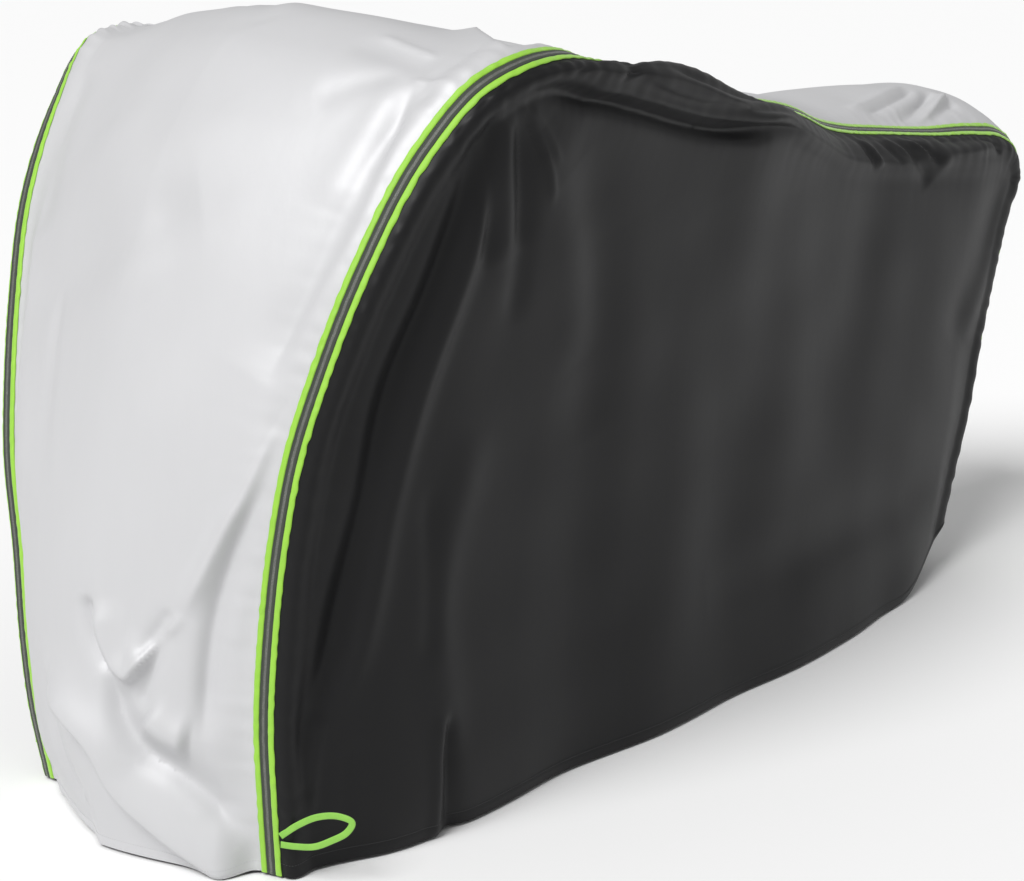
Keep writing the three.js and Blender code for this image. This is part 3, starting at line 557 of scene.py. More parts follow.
@dataclass
class SeamLine:
    """The near seam, from the front hem over the top and down the back.

    Attributes:
        turns: How far the trim's plane is turned round the seam.
        bends: How far the side panel's edge is bent back from that plane.
        drops: How far the seam hangs lower than where it was sized.
        way_reach: How far ahead and behind the seam's direction is taken.
        twist_reach: How far along the trim's plane is evened out.
        twist_steps: In how many steps to each side.
        probe: How far in on the strip its plane is probed.
        probe_inner: How far in on the side panel, as a share of its way back.
        probe_outer: The same, as a share of its way up.
    """

    turns: Pairs = NEAR_TURN
    bends: Pairs = NOWHERE
    drops: Pairs = NOWHERE
    way_reach: float = 0.015
    twist_reach: float = 0.21
    twist_steps: int = 8
    probe: float = 0.04
    probe_inner: float = 0.02
    probe_outer: float = 0.965
    rows: Array = field(default_factory=lambda: np.array([*FRONT_SEAM, *TOP_SEAM, *REAR_SEAM]))

    def __post_init__(self) -> None:
        """Fits the curve and measures its three runs."""
        knots = distances_along(mirrored(self.rows[:, :3]))
        self.curve = Curve(knots, self.rows)
        self.turn = Curve.through(self.turns)
        self.bend = Curve.through(self.bends)
        self.drop = Curve.through(self.drops)
        self.top_start = float(knots[len(FRONT_SEAM) - 1])
        self.tail = float(knots[len(FRONT_SEAM) + len(TOP_SEAM) - 1])
        self.end = float(knots[-1])
        self.patch = SidePatch(
            front=lambda v: self.point(np.asarray(v) * self.top_start),
            rear=lambda v: self.point(self.end - np.asarray(v) * (self.end - self.tail)),
            top=lambda u: self.point(self.top_start + np.asarray(u) * (self.tail - self.top_start)),
            hem=hem_between(self.point(np.array(0.0)), self.point(np.array(self.end))),
        )

    def point(self, along: Array) -> Array:
        """The seam's points at distances along it."""
        row = self.curve(along)
        height = row[..., 2] - self.drop(along)[..., 0]
        return np.stack([row[..., 0], -row[..., 1], height], axis=-1)

    def half(self, along: Array) -> Array:
        """Half the strip's width at distances along the seam."""
        return self.curve(along)[..., 1]

    def strip_point(self, along: Array, t: Array) -> Array:
        """Finds points of the bare strip.

        Args:
            along: Distances along the seam.
            t: Places across, from -1 on the near seam to 1 on the far one.

        Returns:
            The points.
        """
        x, half, z, mid_x, mid_z, power = np.moveaxis(self.curve(along), -1, 0)
        share = np.abs(t) ** power
        height = mid_z + (z - mid_z - self.drop(along)[..., 0]) * share
        return np.stack([mid_x + (x - mid_x) * share, half * t, height], axis=-1)

    def way(self, along: Array) -> Array:
        """The direction of the seam at distances along it."""
        ahead = self.point(np.minimum(along + self.way_reach, self.end))
        behind = self.point(np.maximum(along - self.way_reach, 0.0))
        return unit(ahead - behind)

    def side_probe(self, along: Array) -> Array:
        """Places on the side panel a little way in from the seam."""
        up = along / self.top_start
        down = (self.end - along) / (self.end - self.tail)
        back = (along - self.top_start) / (self.tail - self.top_start)
        in_front = along <= self.top_start
        behind = along >= self.tail
        u = np.clip(back, self.probe_inner, 1 - self.probe_inner)
        v = np.where(in_front, up, np.where(behind, down, 1.0))
        return self.patch.point(u, np.minimum(v, self.probe_outer))

    def bare_across(self, along: Array) -> Array:
        """The way across before it is evened out along the seam."""
        point = self.point(along)
        way = self.way(along)
        to_strip = self.strip_point(along, -1 + self.probe / self.half(along)) - point
        to_strip = unit(to_strip - way * dot(to_strip, way))
        to_side = self.side_probe(along) - point
        to_side = unit(to_side - way * dot(to_side, way))
        return unit(to_side - to_strip)

    def frames(self, along: Array) -> Frames:
        """Works out the seam's axes.

        Args:
            along: Distances along the seam, one row.

        Returns:
            The axes at each, in the plane where the trim lies flat.
        """
        steps = np.arange(-self.twist_steps, self.twist_steps + 1)
        places = np.clip(along[:, None] + steps / self.twist_steps * self.twist_reach, 0.0, self.end)
        weights = self.twist_steps + 1 - np.abs(steps)
        way = self.way(along)
        across = np.einsum("nkc,k->nc", self.bare_across(places), weights)
        across = unit(across - way * dot(across, way))
        out = unit(np.cross(across, way))
        turn = np.radians(self.turn(along))
        turned = across * np.cos(turn) + out * np.sin(turn)
        out = out * np.cos(turn) - across * np.sin(turn)
        return Frames(along, self.point(along), way, turned, out, np.radians(self.bend(along))[:, 0])


@dataclass
class MeshMaker:
    """Turns grids and rings of points into closed, smooth objects in the part's own frame.

    Attributes:
        merge: Points closer than this become one.
        sharp: Edges that turn by more than this stay sharp.
    """

    merge: float = 1e-6
    sharp: float = math.radians(65)

    # A stitch's rings, each with its place along, its girth and its rise, and the corners of a ring.
    STITCH_RINGS = ((-0.5, 0.3, -0.5), (-0.25, 1.0, 0.35), (0.25, 1.0, 0.35), (0.5, 0.3, -0.5))
    STITCH_SECTION = ((-0.5, -0.5), (0.5, -0.5), (0.5, 0.5), (-0.5, 0.5))

    def build(
        self, name: str, points: Array, faces: list[Sequence[int]], coords: Array
    ) -> bpy.types.Object:
        """Makes an object from points and faces.

        Args:
            name: The object's name.
            points: The points, in the working measures.
            faces: Each face as a row of point numbers, turned outward.
            coords: Two texture measures for each point.

        Returns:
            The object, linked to the scene.
        """
        mesh = bpy.data.meshes.new(name)
        mesh.from_pydata((points - ORIGIN).tolist(), [], faces)
        corners = np.empty(len(mesh.loops), dtype=np.int32)
        mesh.loops.foreach_get("vertex_index", corners)
        layer = mesh.uv_layers.new(name="cloth")
        layer.data.foreach_set("uv", coords[corners].astype(np.float32).ravel())
        work = bmesh.new()
        work.from_mesh(mesh)
        bmesh.ops.remove_doubles(work, verts=work.verts, dist=self.merge)
        bmesh.ops.dissolve_degenerate(work, edges=work.edges, dist=self.merge)
        work.to_mesh(mesh)
        work.free()
        mesh.shade_smooth()
        mesh.set_sharp_from_angle(angle=self.sharp)
        made = bpy.data.objects.new(name, mesh)
        bpy.context.scene.collection.objects.link(made)
        return made

    def sheet(
        self, name: str, middle: Array, out: Array, thickness: float, coords: Array
    ) -> bpy.types.Object:
        """Makes a closed sheet of cloth, its inner side with every second line of the grid.

        Args:
            name: The object's name.
            middle: A grid of points with an odd number of rows and of columns.
            out: The way out of the cover at each of them.
            thickness: The cloth's thickness.
            coords: Two texture measures for each grid point.

        Returns:
            The sheet.
        """
        rows, columns = middle.shape[:2]
        outer = np.arange(rows * columns).reshape(rows, columns)
        inner_rows, inner_columns = (rows + 1) // 2, (columns + 1) // 2
        inner = np.arange(inner_rows * inner_columns).reshape(inner_rows, inner_columns) + outer.size
        points = np.concatenate([
            (middle + out * thickness / 2).reshape(-1, 3),
            (middle - out * thickness / 2)[::2, ::2].reshape(-1, 3),
        ])
        texture = np.concatenate([coords.reshape(-1, 2), coords[::2, ::2].reshape(-1, 2)])
        turned = float((grid_normals(middle) * out).sum()) < 0
        faces = self.grid_faces(outer, turned) + self.grid_faces(inner, not turned)
        faces += self.rim_faces(outer, inner, turned)
        return self.build(name, points, faces, texture)

    @staticmethod
    def grid_faces(index: Array, turned: bool) -> list[Sequence[int]]:
        """The four-sided faces of a grid of point numbers, turned over if asked."""
        quads = np.stack([index[:-1, :-1], index[1:, :-1], index[1:, 1:], index[:-1, 1:]], axis=-1)
        quads = quads.reshape(-1, 4)
        return (quads[:, ::-1] if turned else quads).tolist()

    @staticmethod
    def rim_faces(outer: Array, inner: Array, turned: bool) -> list[Sequence[int]]:
        """Joins the rims of a fine outer grid and a coarse inner one.

        Args:
            outer: Point numbers of the outer grid.
            inner: Point numbers of the inner grid, with every second line.
            turned: Whether the faces are turned over.

        Returns:
            The rim's faces.
        """
        def loop(index: Array) -> Array:
            """The grid's outline as one closed row of point numbers."""
            sides = [index[0, :-1], index[:-1, -1], index[-1, :0:-1], index[:0:-1, 0]]
            return np.concatenate(sides)

        fine, coarse = loop(outer), loop(inner)
        faces: list[Sequence[int]] = []
        for k, corner in enumerate(coarse):
            after = coarse[(k + 1) % len(coarse)]
            a, b, c = fine[2 * k], fine[2 * k + 1], fine[(2 * k + 2) % len(fine)]
            piece = [a, b, c, after, corner]
            faces.append([int(n) for n in (piece[::-1] if turned else piece)])
        return faces

    def ribbon(self, name: str, rings: Array, lengths: Array, girths: Array) -> bpy.types.Object:
        """Makes a closed ribbon, cord or strap through rings of points, with a cap at each end.

        Args:
            name: The object's name.
            rings: The rings' points, ring by ring.
            lengths: How far along each ring lies.
            girths: The texture measure of each point round its ring.

        Returns:
            The ribbon.
        """
        count, corners = rings.shape[:2]
        index = np.arange(count * corners).reshape(count, corners)
        wrapped = np.concatenate([index, index[:, :1]], axis=1)
        middle = rings[count // 2]
        way = rings[count // 2 + 1].mean(axis=0) - middle.mean(axis=0)
        round_way = np.cross(middle[0] - middle.mean(axis=0), middle[1] - middle.mean(axis=0))
        turned = float((way * round_way).sum()) > 0
        faces = self.grid_faces(wrapped, turned)
        caps = [index[0].tolist(), index[-1][::-1].tolist()]
        faces += [cap[::-1] for cap in caps] if turned else caps
        a, b = np.broadcast_arrays(girths[None, :], lengths[:, None])
        return self.build(name, rings.reshape(-1, 3), faces, np.stack([a, b], axis=-1).reshape(-1, 2))

    def stitches(
        self, name: str, points: Array, ways: Array, outs: Array, length: float, thread: float
    ) -> bpy.types.Object:
        """Makes a row of stitches as one object.

        Args:
            name: The object's name.
            points: Where each stitch lies.
            ways: The way that each runs.
            outs: The way out of the cloth at each.
            length: The length of a stitch.
            thread: The thickness of its thread.

        Returns:
            The stitches.
        """
        side = np.cross(ways, outs)
        corners = [
            points + ways * along * length + outs * rise * thread
            + (side * across + outs * up) * thread * girth
            for along, girth, rise in self.STITCH_RINGS for across, up in self.STITCH_SECTION
        ]
        block = np.stack(corners, axis=1)
        per = len(corners)
        one = [
            (4 * s + k, 4 * s + (k + 1) % 4, 4 * s + 4 + (k + 1) % 4, 4 * s + 4 + k)
            for s in range(len(self.STITCH_RINGS) - 1) for k in range(4)
        ]
        one += [(3, 2, 1, 0), (per - 4, per - 3, per - 2, per - 1)]
        first = np.cross(block[0, 1] - block[0, 0], block[0, 4] - block[0, 0])
        outward = block[0, 0] + block[0, 1] - 2 * block[0, :4].mean(axis=0)
        turned = float((first * outward).sum()) < 0
        faces = [
            [n * per + k for k in (face[::-1] if turned else face)]
            for n in range(len(points)) for face in one
        ]
        coords = np.zeros((len(points) * per, 2))
        return self.build(name, block.reshape(-1, 3), faces, coords)


class Wire:
    """A value in a shader, with Python's operators in place of Math nodes."""

    def __init__(self, shader: "Shader", socket: bpy.types.NodeSocket) -> None:
        """Wraps an output socket of a shader's node."""
        self.shader = shader
        self.socket = socket

    def math(self, operation: str, *values: "Wire | float") -> "Wire":
        """Adds a Math node with the given operation on these values."""
        inputs = dict(enumerate(values))
        return self.shader.add("ShaderNodeMath", {"operation": operation}, inputs)

    def __add__(self, other: "Wire | float") -> "Wire":
        """Adds another value."""
        return self.math("ADD", self, other)

    __radd__ = __add__

    def __sub__(self, other: "Wire | float") -> "Wire":
        """Takes another value away."""
        return self.math("SUBTRACT", self, other)

    def __rsub__(self, other: "Wire | float") -> "Wire":
        """Takes this value away from another."""
        return self.math("SUBTRACT", other, self)

    def __mul__(self, other: "Wire | float") -> "Wire":
        """Multiplies by another value."""
        return self.math("MULTIPLY", self, other)

    __rmul__ = __mul__

    def sine(self) -> "Wire":
        """The sine of the value in radians."""
        return self.math("SINE", self)

    def size(self) -> "Wire":
        """The value without its sign."""
        return self.math("ABSOLUTE", self)

    def above(self, threshold: float, softness: float) -> "Wire":
        """A mask that rises from 0 to 1 round a threshold."""
        settings = {"interpolation_type": "SMOOTHSTEP"}
        inputs = {"Value": self, "From Min": threshold - softness, "From Max": threshold + softness}
        return self.shader.add("ShaderNodeMapRange", settings, inputs)


class Shader:
    """A node-based material while it is being made."""

    def __init__(self, name: str, roughness: float, **surface: float) -> None:
        """Starts a material with one surface shader.

        Args:
            name: The material's name.
            roughness: The surface's roughness where nothing changes it.
            surface: Other settings of the surface that are the same all over it.
        """
        self.material = bpy.data.materials.new(name)
        self.material.use_nodes = True
        self.tree = self.material.node_tree
        self.surface = self.tree.nodes["Principled BSDF"]
        self.surface.inputs["Roughness"].default_value = roughness
        for key, value in surface.items():
            self.surface.inputs[key.replace("_", " ").title()].default_value = value

    def add(
        self, kind: str, settings: dict | None = None, inputs: dict | None = None, output: str | int = 0
    ) -> Wire:
        """Adds a node.

        Args:
            kind: The node's type.
            settings: Its own settings, set first; stops are a ramp's places and colours.
            inputs: Values or links of its sockets, by name or number.
            output: The output that is wanted.

        Returns:
            That output.
        """
        node = self.tree.nodes.new(kind)
        for key, value in (settings or {}).items():
            if key == "stops":
                self.set_stops(node, value)
            else:
                setattr(node, key, value)
        for key, value in (inputs or {}).items():
            if isinstance(value, Wire):
                self.tree.links.new(value.socket, node.inputs[key])
            else:
                node.inputs[key].default_value = value
        return Wire(self, node.outputs[output])

    @staticmethod
    def set_stops(node: bpy.types.Node, stops: Sequence[tuple[float, Color]]) -> None:
        """Sets a ramp's stops, each a place and a colour."""
        ramp = node.color_ramp
        while len(ramp.elements) < len(stops):
            ramp.elements.new(0.5)
        for element, (place, color) in zip(ramp.elements, stops):
            element.position = place
            element.color = (*color, 1.0)

    def mix(self, share: Wire | float, first: Wire | Color, second: Wire | Color) -> Wire:
        """Mixes two colours by a share."""
        colors = [c if isinstance(c, Wire) else (*c, 1.0) for c in (first, second)]
        inputs = {0: share, 6: colors[0], 7: colors[1]}
        return self.add("ShaderNodeMix", {"data_type": "RGBA"}, inputs, 2)

    def noise(self, place: Wire, scale: float, detail: float = 3.0, roughness: float = 0.5) -> Wire:
        """Soft noise from 0 to 1 round a half, with so many waves to the metre."""
        inputs = {"Vector": place, "Scale": scale, "Detail": detail, "Roughness": roughness}
        return self.add("ShaderNodeTexNoise", {"normalize": True}, inputs)

    def object_place(self) -> Wire:
        """Each point's place in the part's frame."""
        return self.add("ShaderNodeTexCoord", output="Object")

    def cloth_place(self) -> tuple[Wire, Wire]:
        """The two texture measures of the piece, across and along, in metres."""
        coords = self.add("ShaderNodeUVMap", {"uv_map": "cloth"})
        parts = self.add("ShaderNodeSeparateXYZ", None, {0: coords})
        return parts, Wire(self, parts.socket.node.outputs[1])

    def stretched(self, place: Wire, scale: Color) -> Wire:
        """A place with its three measures scaled, for streaky noise."""
        return self.add("ShaderNodeVectorMath", {"operation": "MULTIPLY"}, {0: place, 1: scale})

    def weave(self, across: Wire, along: Wire, pitch: float) -> Wire:
        """A plain weave's height, from 0 between the threads to 1 on top of one."""
        turns = 2 * math.pi / pitch
        return ((across * turns).sine() * (along * turns).sine()) * 0.5 + 0.5

    def finish(self, color: Wire, roughness: Wire, height: Wire) -> bpy.types.Material:
        """Wires the colour, the roughness and the bump into the surface.

        Args:
            color: The colour over the surface.
            roughness: The roughness over the surface.
            height: The relief in metres.

        Returns:
            The finished material.
        """
        bump = self.add("ShaderNodeBump", None, {"Strength": 1.0, "Distance": 1.0, "Height": height})
        for key, wire in (("Base Color", color), ("Roughness", roughness), ("Normal", bump)):
            self.tree.links.new(wire.socket, self.surface.inputs[key])
        return self.material


@dataclass(frozen=True)
class CoatedCloth:
    """Satin coated cloth: a fine plain weave under a coating, with soft crumples.

    Attributes:
        name: The finish's name.
        light: The cloth's colour where it is cleanest.
        dull: Its colour where it is duller.
        roughness: Its usual roughness.
        patchy: How much the roughness differs from place to place.
        crumple: The depth of the small crumples.
        metallic: How much of the coating is metal.
        sheen: How much sheen the weave gives.
        ior: How strongly the coating shines; a lower one shines less.
        weave_tint: How much duller the cloth is on top of the threads.
        broad_share: How much of the tone comes from the broad clouds, and not from the crumples.
        broad_waves: How many broad clouds of tone there are to the metre.
        streak_waves: The same for the crumples, which run up and down.
        streak_stretch: How much their three measures count.
        small_waves: The same for the small crumples.
        small_share: How deep these are beside the others.
    """

    name: str
    light: Color
    dull: Color
    roughness: float
    patchy: float
    crumple: float
    metallic: float
    sheen: float
    ior: float = 1.5
    pitch: float = 0.0012
    weave_depth: float = 0.000012
    weave_tint: float = 0.12
    broad_share: float = 0.6
    broad_waves: float = 2.2
    streak_waves: float = 21.0
    streak_stretch: Color = (1.0, 1.0, 0.25)
    small_waves: float = 75.0
    small_share: float = 0.16

    def material(self) -> bpy.types.Material:
        """Makes the finish's material."""
        shader = Shader(
            self.name, self.roughness, metallic=self.metallic,
            sheen_weight=self.sheen, sheen_roughness=0.4,
        )
        shader.surface.inputs["IOR"].default_value = self.ior
        place = shader.object_place()
        across, along = shader.cloth_place()
        broad = shader.noise(place, self.broad_waves, detail=4.0)
        stretched = shader.stretched(place, self.streak_stretch)
        streaks = shader.noise(stretched, self.streak_waves, detail=4.0, roughness=0.6)
        small = shader.noise(place, self.small_waves, detail=3.0, roughness=0.6)
        weave = shader.weave(across, along, self.pitch)
        tone = broad * self.broad_share + streaks * (1 - self.broad_share)
        color = shader.mix(tone, self.dull, self.light)
        color = shader.mix(weave * self.weave_tint, color, self.dull)
        roughness = (broad * 0.5 + small * 0.5 - 0.5) * self.patchy + self.roughness
        crumples = streaks * self.crumple + small * (self.crumple * self.small_share)
        return shader.finish(color, roughness, crumples + weave * self.weave_depth)


@dataclass(frozen=True)
class WovenTapeFinish:
    """Dark woven tape with a speckled grey stripe that glitters down its middle.

    Attributes:
        edge: The colour of the tape's ground, with painted shade between its threads, and edge_thread
            that of its raised threads.
        stripe: The colour of the stripe's ground, and speckle that of its speckles.
        stripe_half: Half the stripe's width.
        stripe_soft: How soft its edges are.
        stripe_gloss: How much less rough the stripe is, and speckle_gloss its speckles.
        rib: The pitch of the twill.
        grain_waves: How many speckles there are to the metre.
    """

    name: str = "woven_tape"
    edge: Color = (0.020, 0.026, 0.018)
    edge_thread: Color = (0.046, 0.056, 0.040)
    stripe: Color = (0.080, 0.084, 0.074)
    speckle: Color = (0.22, 0.23, 0.20)
    stripe_half: float = 0.0020
    stripe_soft: float = 0.0003
    rib: float = 0.0016
    depth: float = 0.00018
    roughness: float = 0.66
    stripe_gloss: float = 0.24
    speckle_gloss: float = 0.1
    grain_waves: float = 900.0
    grain_depth: float = 0.00008
    blotch_waves: float = 60.0

    def material(self) -> bpy.types.Material:
        """Makes the finish's material."""
        shader = Shader(self.name, 0.62, sheen_weight=0.1, sheen_roughness=0.5)
        across, along = shader.cloth_place()
        place = shader.object_place()
        turns = 2 * math.pi / self.rib
        twill = ((across.size() * 0.9 + along) * turns).sine() * 0.5 + 0.5
        stripe = 1.0 - across.size().above(self.stripe_half, self.stripe_soft)
        grain = shader.noise(place, self.grain_waves, detail=2.0, roughness=0.7)
        grain = grain.above(0.56, softness=0.05)
        blotch = shader.noise(place, self.blotch_waves, detail=3.0, roughness=0.6)
        # Painted shade: the ground is darker between the twill's raised threads, where its bump is low.
        ground = shader.mix(twill * 0.8, self.edge, self.edge_thread)
        bright = shader.mix(grain * blotch * 1.3, self.stripe, self.speckle)
        color = shader.mix(stripe, ground, bright)
        roughness = self.roughness - stripe * self.stripe_gloss + grain * stripe * -self.speckle_gloss
        height = twill * self.depth + stripe * grain * self.grain_depth
        return shader.finish(color, roughness, height)


@dataclass(frozen=True)
class BrightTrimFinish:
    """Bright yellow-green trim: a fine rib with painted shade between the ribs, and a little wear in its
    tone.

    Attributes:
        light: Its colour where it is cleanest.
        deep: Its colour in the painted shade between the ribs, and where it is worn.
        slant: How much the ribs lean.
        rib_shade_share: How much of the tone is the painted shade between the ribs, and not the worn
            patches.
        patchy: How much rougher the worn patches are.
        blotch_waves: How many worn patches there are to the metre.
    """

    name: str
    light: Color = (0.34, 0.65, 0.052)
    deep: Color = (0.19, 0.44, 0.028)
    rib: float = 0.0014
    depth: float = 0.00012
    slant: float = 0.6
    blotch_waves: float = 45.0
    rib_shade_share: float = 0.45
    roughness: float = 0.42
    patchy: float = 0.2

    def material(self) -> bpy.types.Material:
        """Makes the finish's material."""
        shader = Shader(self.name, 0.5, sheen_weight=0.3, sheen_roughness=0.4)
        across, along = shader.cloth_place()
        place = shader.object_place()
        turns = 2 * math.pi / self.rib
        ribs = ((along + across * self.slant) * turns).sine() * 0.5 + 0.5
        blotch = shader.noise(place, self.blotch_waves, detail=3.0, roughness=0.6)
        # Painted shade between the ribs, where their bump is low, mixed with random worn patches.
        tone = ribs * self.rib_shade_share + blotch * (1 - self.rib_shade_share)
        color = shader.mix(tone, self.deep, self.light)
        return shader.finish(color, self.roughness + blotch * self.patchy, ribs * self.depth)


@dataclass(frozen=True)
class ThreadFinish:
    """Twisted sewing thread: its colour, and a darker painted shade between its strands."""

    name: str
    color: Color
    shade: Color
    twist_waves: float = 1500.0
    twist_depth: float = 0.00005
    roughness: float = 0.45
    patchy: float = 0.2

    def material(self) -> bpy.types.Material:
        """Makes the finish's material."""
        shader = Shader(self.name, 0.55, sheen_weight=0.2)
        place = shader.object_place()
        twist = shader.noise(place, self.twist_waves, detail=2.0, roughness=0.6)
        # Painted shade: the thread goes to its shade colour where the twist's bump is low, between the
        # strands.
        color = shader.mix(twist, self.shade, self.color)
        return shader.finish(color, self.roughness + twist * self.patchy, twist * self.twist_depth)


@dataclass(frozen=True)
class FloorFinish:
    """The studio's pale floor."""

    name: str = "studio_floor"
    color: Color = (0.86, 0.86, 0.86)
    shade: Color = (0.8, 0.8, 0.8)
    cloud_waves: float = 0.6
    cloud_depth: float = 0.0001
    roughness: float = 0.85
    patchy: float = 0.05

    def material(self) -> bpy.types.Material:
        """Makes the finish's material."""
        shader = Shader(self.name, 0.9)
        place = shader.object_place()
        cloud = shader.noise(place, self.cloud_waves, detail=2.0)
        uneven = cloud * self.patchy
        color = shader.mix(uneven, self.color, self.shade)
        return shader.finish(color, self.roughness + uneven, cloud * self.cloud_depth)


class Slot(Enum):
    """The record's material slots."""

    SILVER = "silver_cloth"
    BLACK = "black_cloth"
    TAPE = "woven_tape"
    PIPING = "bright_piping"
    WEBBING = "bright_webbing"


class Side(Enum):
    """Which side of the cover a piece is on."""

    LEFT = "left"
    RIGHT = "right"

    def place(self, points: Array) -> Array:
        """Points of the near side, or the same ones mirrored for the far side."""
        return points if self is Side.LEFT else mirrored(points)


@dataclass
class Wardrobe:
    """The finishes of the cover, each made once and shared by its pieces."""

    finishes: dict[Slot, bpy.types.Material] = field(default_factory=dict)

    def __post_init__(self) -> None:
        """Makes every finish."""
        silver = CoatedCloth(
            "silver_cloth", light=(0.545, 0.545, 0.555), dull=(0.495, 0.495, 0.505),
            roughness=0.52, patchy=0.06, crumple=0.0006, metallic=0.14, sheen=0.03,
        )
        black = CoatedCloth(
            "black_cloth", light=(0.011, 0.011, 0.0115), dull=(0.0095, 0.0095, 0.01),
            roughness=0.44, patchy=0.06, crumple=0.00025, metallic=0.0, sheen=0.02, ior=1.25,
        )
        # The webbing's second colour is its painted shade between the ribs and its wear; each thread's
        # second colour is its painted shade between the strands.
        webbing = BrightTrimFinish("bright_webbing", (0.30, 0.62, 0.085), (0.14, 0.36, 0.04))
        black_thread = ThreadFinish("black_thread", (0.035, 0.035, 0.036), (0.015, 0.015, 0.016))
        grey_thread = ThreadFinish("grey_thread", (0.55, 0.55, 0.56), (0.35, 0.35, 0.36))
        self.finishes = {
            Slot.SILVER: silver.material(),
            Slot.BLACK: black.material(),
            Slot.TAPE: WovenTapeFinish().material(),
            Slot.PIPING: BrightTrimFinish("bright_piping").material(),
            Slot.WEBBING: webbing.material(),
        }
        self.black_thread = black_thread.material()
        self.grey_thread = grey_thread.material()

    def dress(
        self, piece: bpy.types.Object, slot: Slot, nodes: Sequence[str] = (),
        thread: bpy.types.Material | None = None,
    ) -> None:
        """Gives a piece its finish and ties it to the frame.

        Args:
            piece: The object.
            slot: The material slot that it belongs to.
            nodes: The nodes of the frame that it stands for.
            thread: A thread finish, where the piece is sewing.
        """
        piece.data.materials.append(thread or self.finishes[slot])
        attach(piece, BODY)
        if nodes:
            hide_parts(*nodes)
        log.info("%s: %d faces", piece.name, len(piece.data.polygons))


@dataclass
class Hem:
    """The turned and stitched hem at the foot of a panel.

    Attributes:
        width: How wide the turned hem is.
        step: How far the double cloth stands out.
        pull: How deep the stitches pull the cloth in.
        soft: How softly the hem ends and the stitches sink in.
        stitch_inset: How far the stitches lie from the hem's inner edge.
        stitch: The length of a stitch.
        stitch_gap: The gap from one to the next.
        thread: The thickness of the thread.
        thread_rise: How far the thread's middle lies over the cloth, as a share of its thickness.
    """

    width: float = 0.018
    step: float = 0.0009
    pull: float = 0.0007
    soft: float = 0.0016
    stitch_inset: float = 0.002
    stitch: float = 0.0032
    stitch_gap: float = 0.0012
    thread: float = 0.0006
    thread_rise: float = 0.3

    def stitch_line(self) -> float:
        """How far over the hem's edge the stitches run."""
        return self.width - self.stitch_inset

    def height(self, up: Array) -> Array:
        """How far the hem lifts the cloth at heights above its edge."""
        turned = self.step * (1 - smooth((up - self.width) / self.soft + 0.5))
        return turned - self.pull * np.exp(-(((up - self.stitch_line()) / self.soft) ** 2))

    def sew(self, maker: MeshMaker, name: str, line: Array, outs: Array) -> bpy.types.Object:
        """Makes a row of stitches along a hem.

        Args:
            maker: Builds the mesh.
            name: Which hem it is.
            line: Points on the cloth that the row runs through.
            outs: The way out of the cloth at each.

        Returns:
            The stitches.
        """
        points, ways, outs = stitch_places(line, outs, self.stitch + self.stitch_gap)
        raised = points + outs * self.thread * self.thread_rise
        return maker.stitches(f"hem_stitches_{name}", raised, ways, outs, self.stitch, self.thread)


def stitch_places(line: Array, outs: Array, pitch: float) -> tuple[Array, Array, Array]:
    """Spaces stitches evenly along a line.

    Args:
        line: The line's points.
        outs: The way out of the cloth at each.
        pitch: The distance from stitch to stitch.

    Returns:
        The stitches' points, the way along and the way out at each.
    """
    run = distances_along(line)
    places = np.arange(pitch, run[-1] - pitch, pitch)
    points = points_at(places, run, line)
    out = unit(points_at(places, run, outs))
    way = unit(points_at(places + pitch / 2, run, line) - points)
    return points, unit(way - out * dot(way, out)), out


@dataclass
class TrimFit:
    """How the panels and the trim fit together along a seam.

    Attributes:
        cloth: The thickness of the cloth.
        panel_gap: The gap between two panels under the tape.
        flat_band: How far each panel lies flat under the trim.
        band_blend: Over what distance the flat band turns into the panel's own drape.
        lift: How far the trim lies over the cloth.
        pucker_start: Over what distance the puckers beside the trim come in.
    """

    cloth: float = 0.0015
    panel_gap: float = 0.0004
    flat_band: float = 0.02
    band_blend: float = 0.05
    lift: float = 0.0007
    pucker_start: float = 0.006
    tape_width: float = 0.014
    tape_thick: float = 0.0012
    piping_width: float = 0.0096
    piping_thick: float = 0.0022
    piping_gap: float = 0.0003


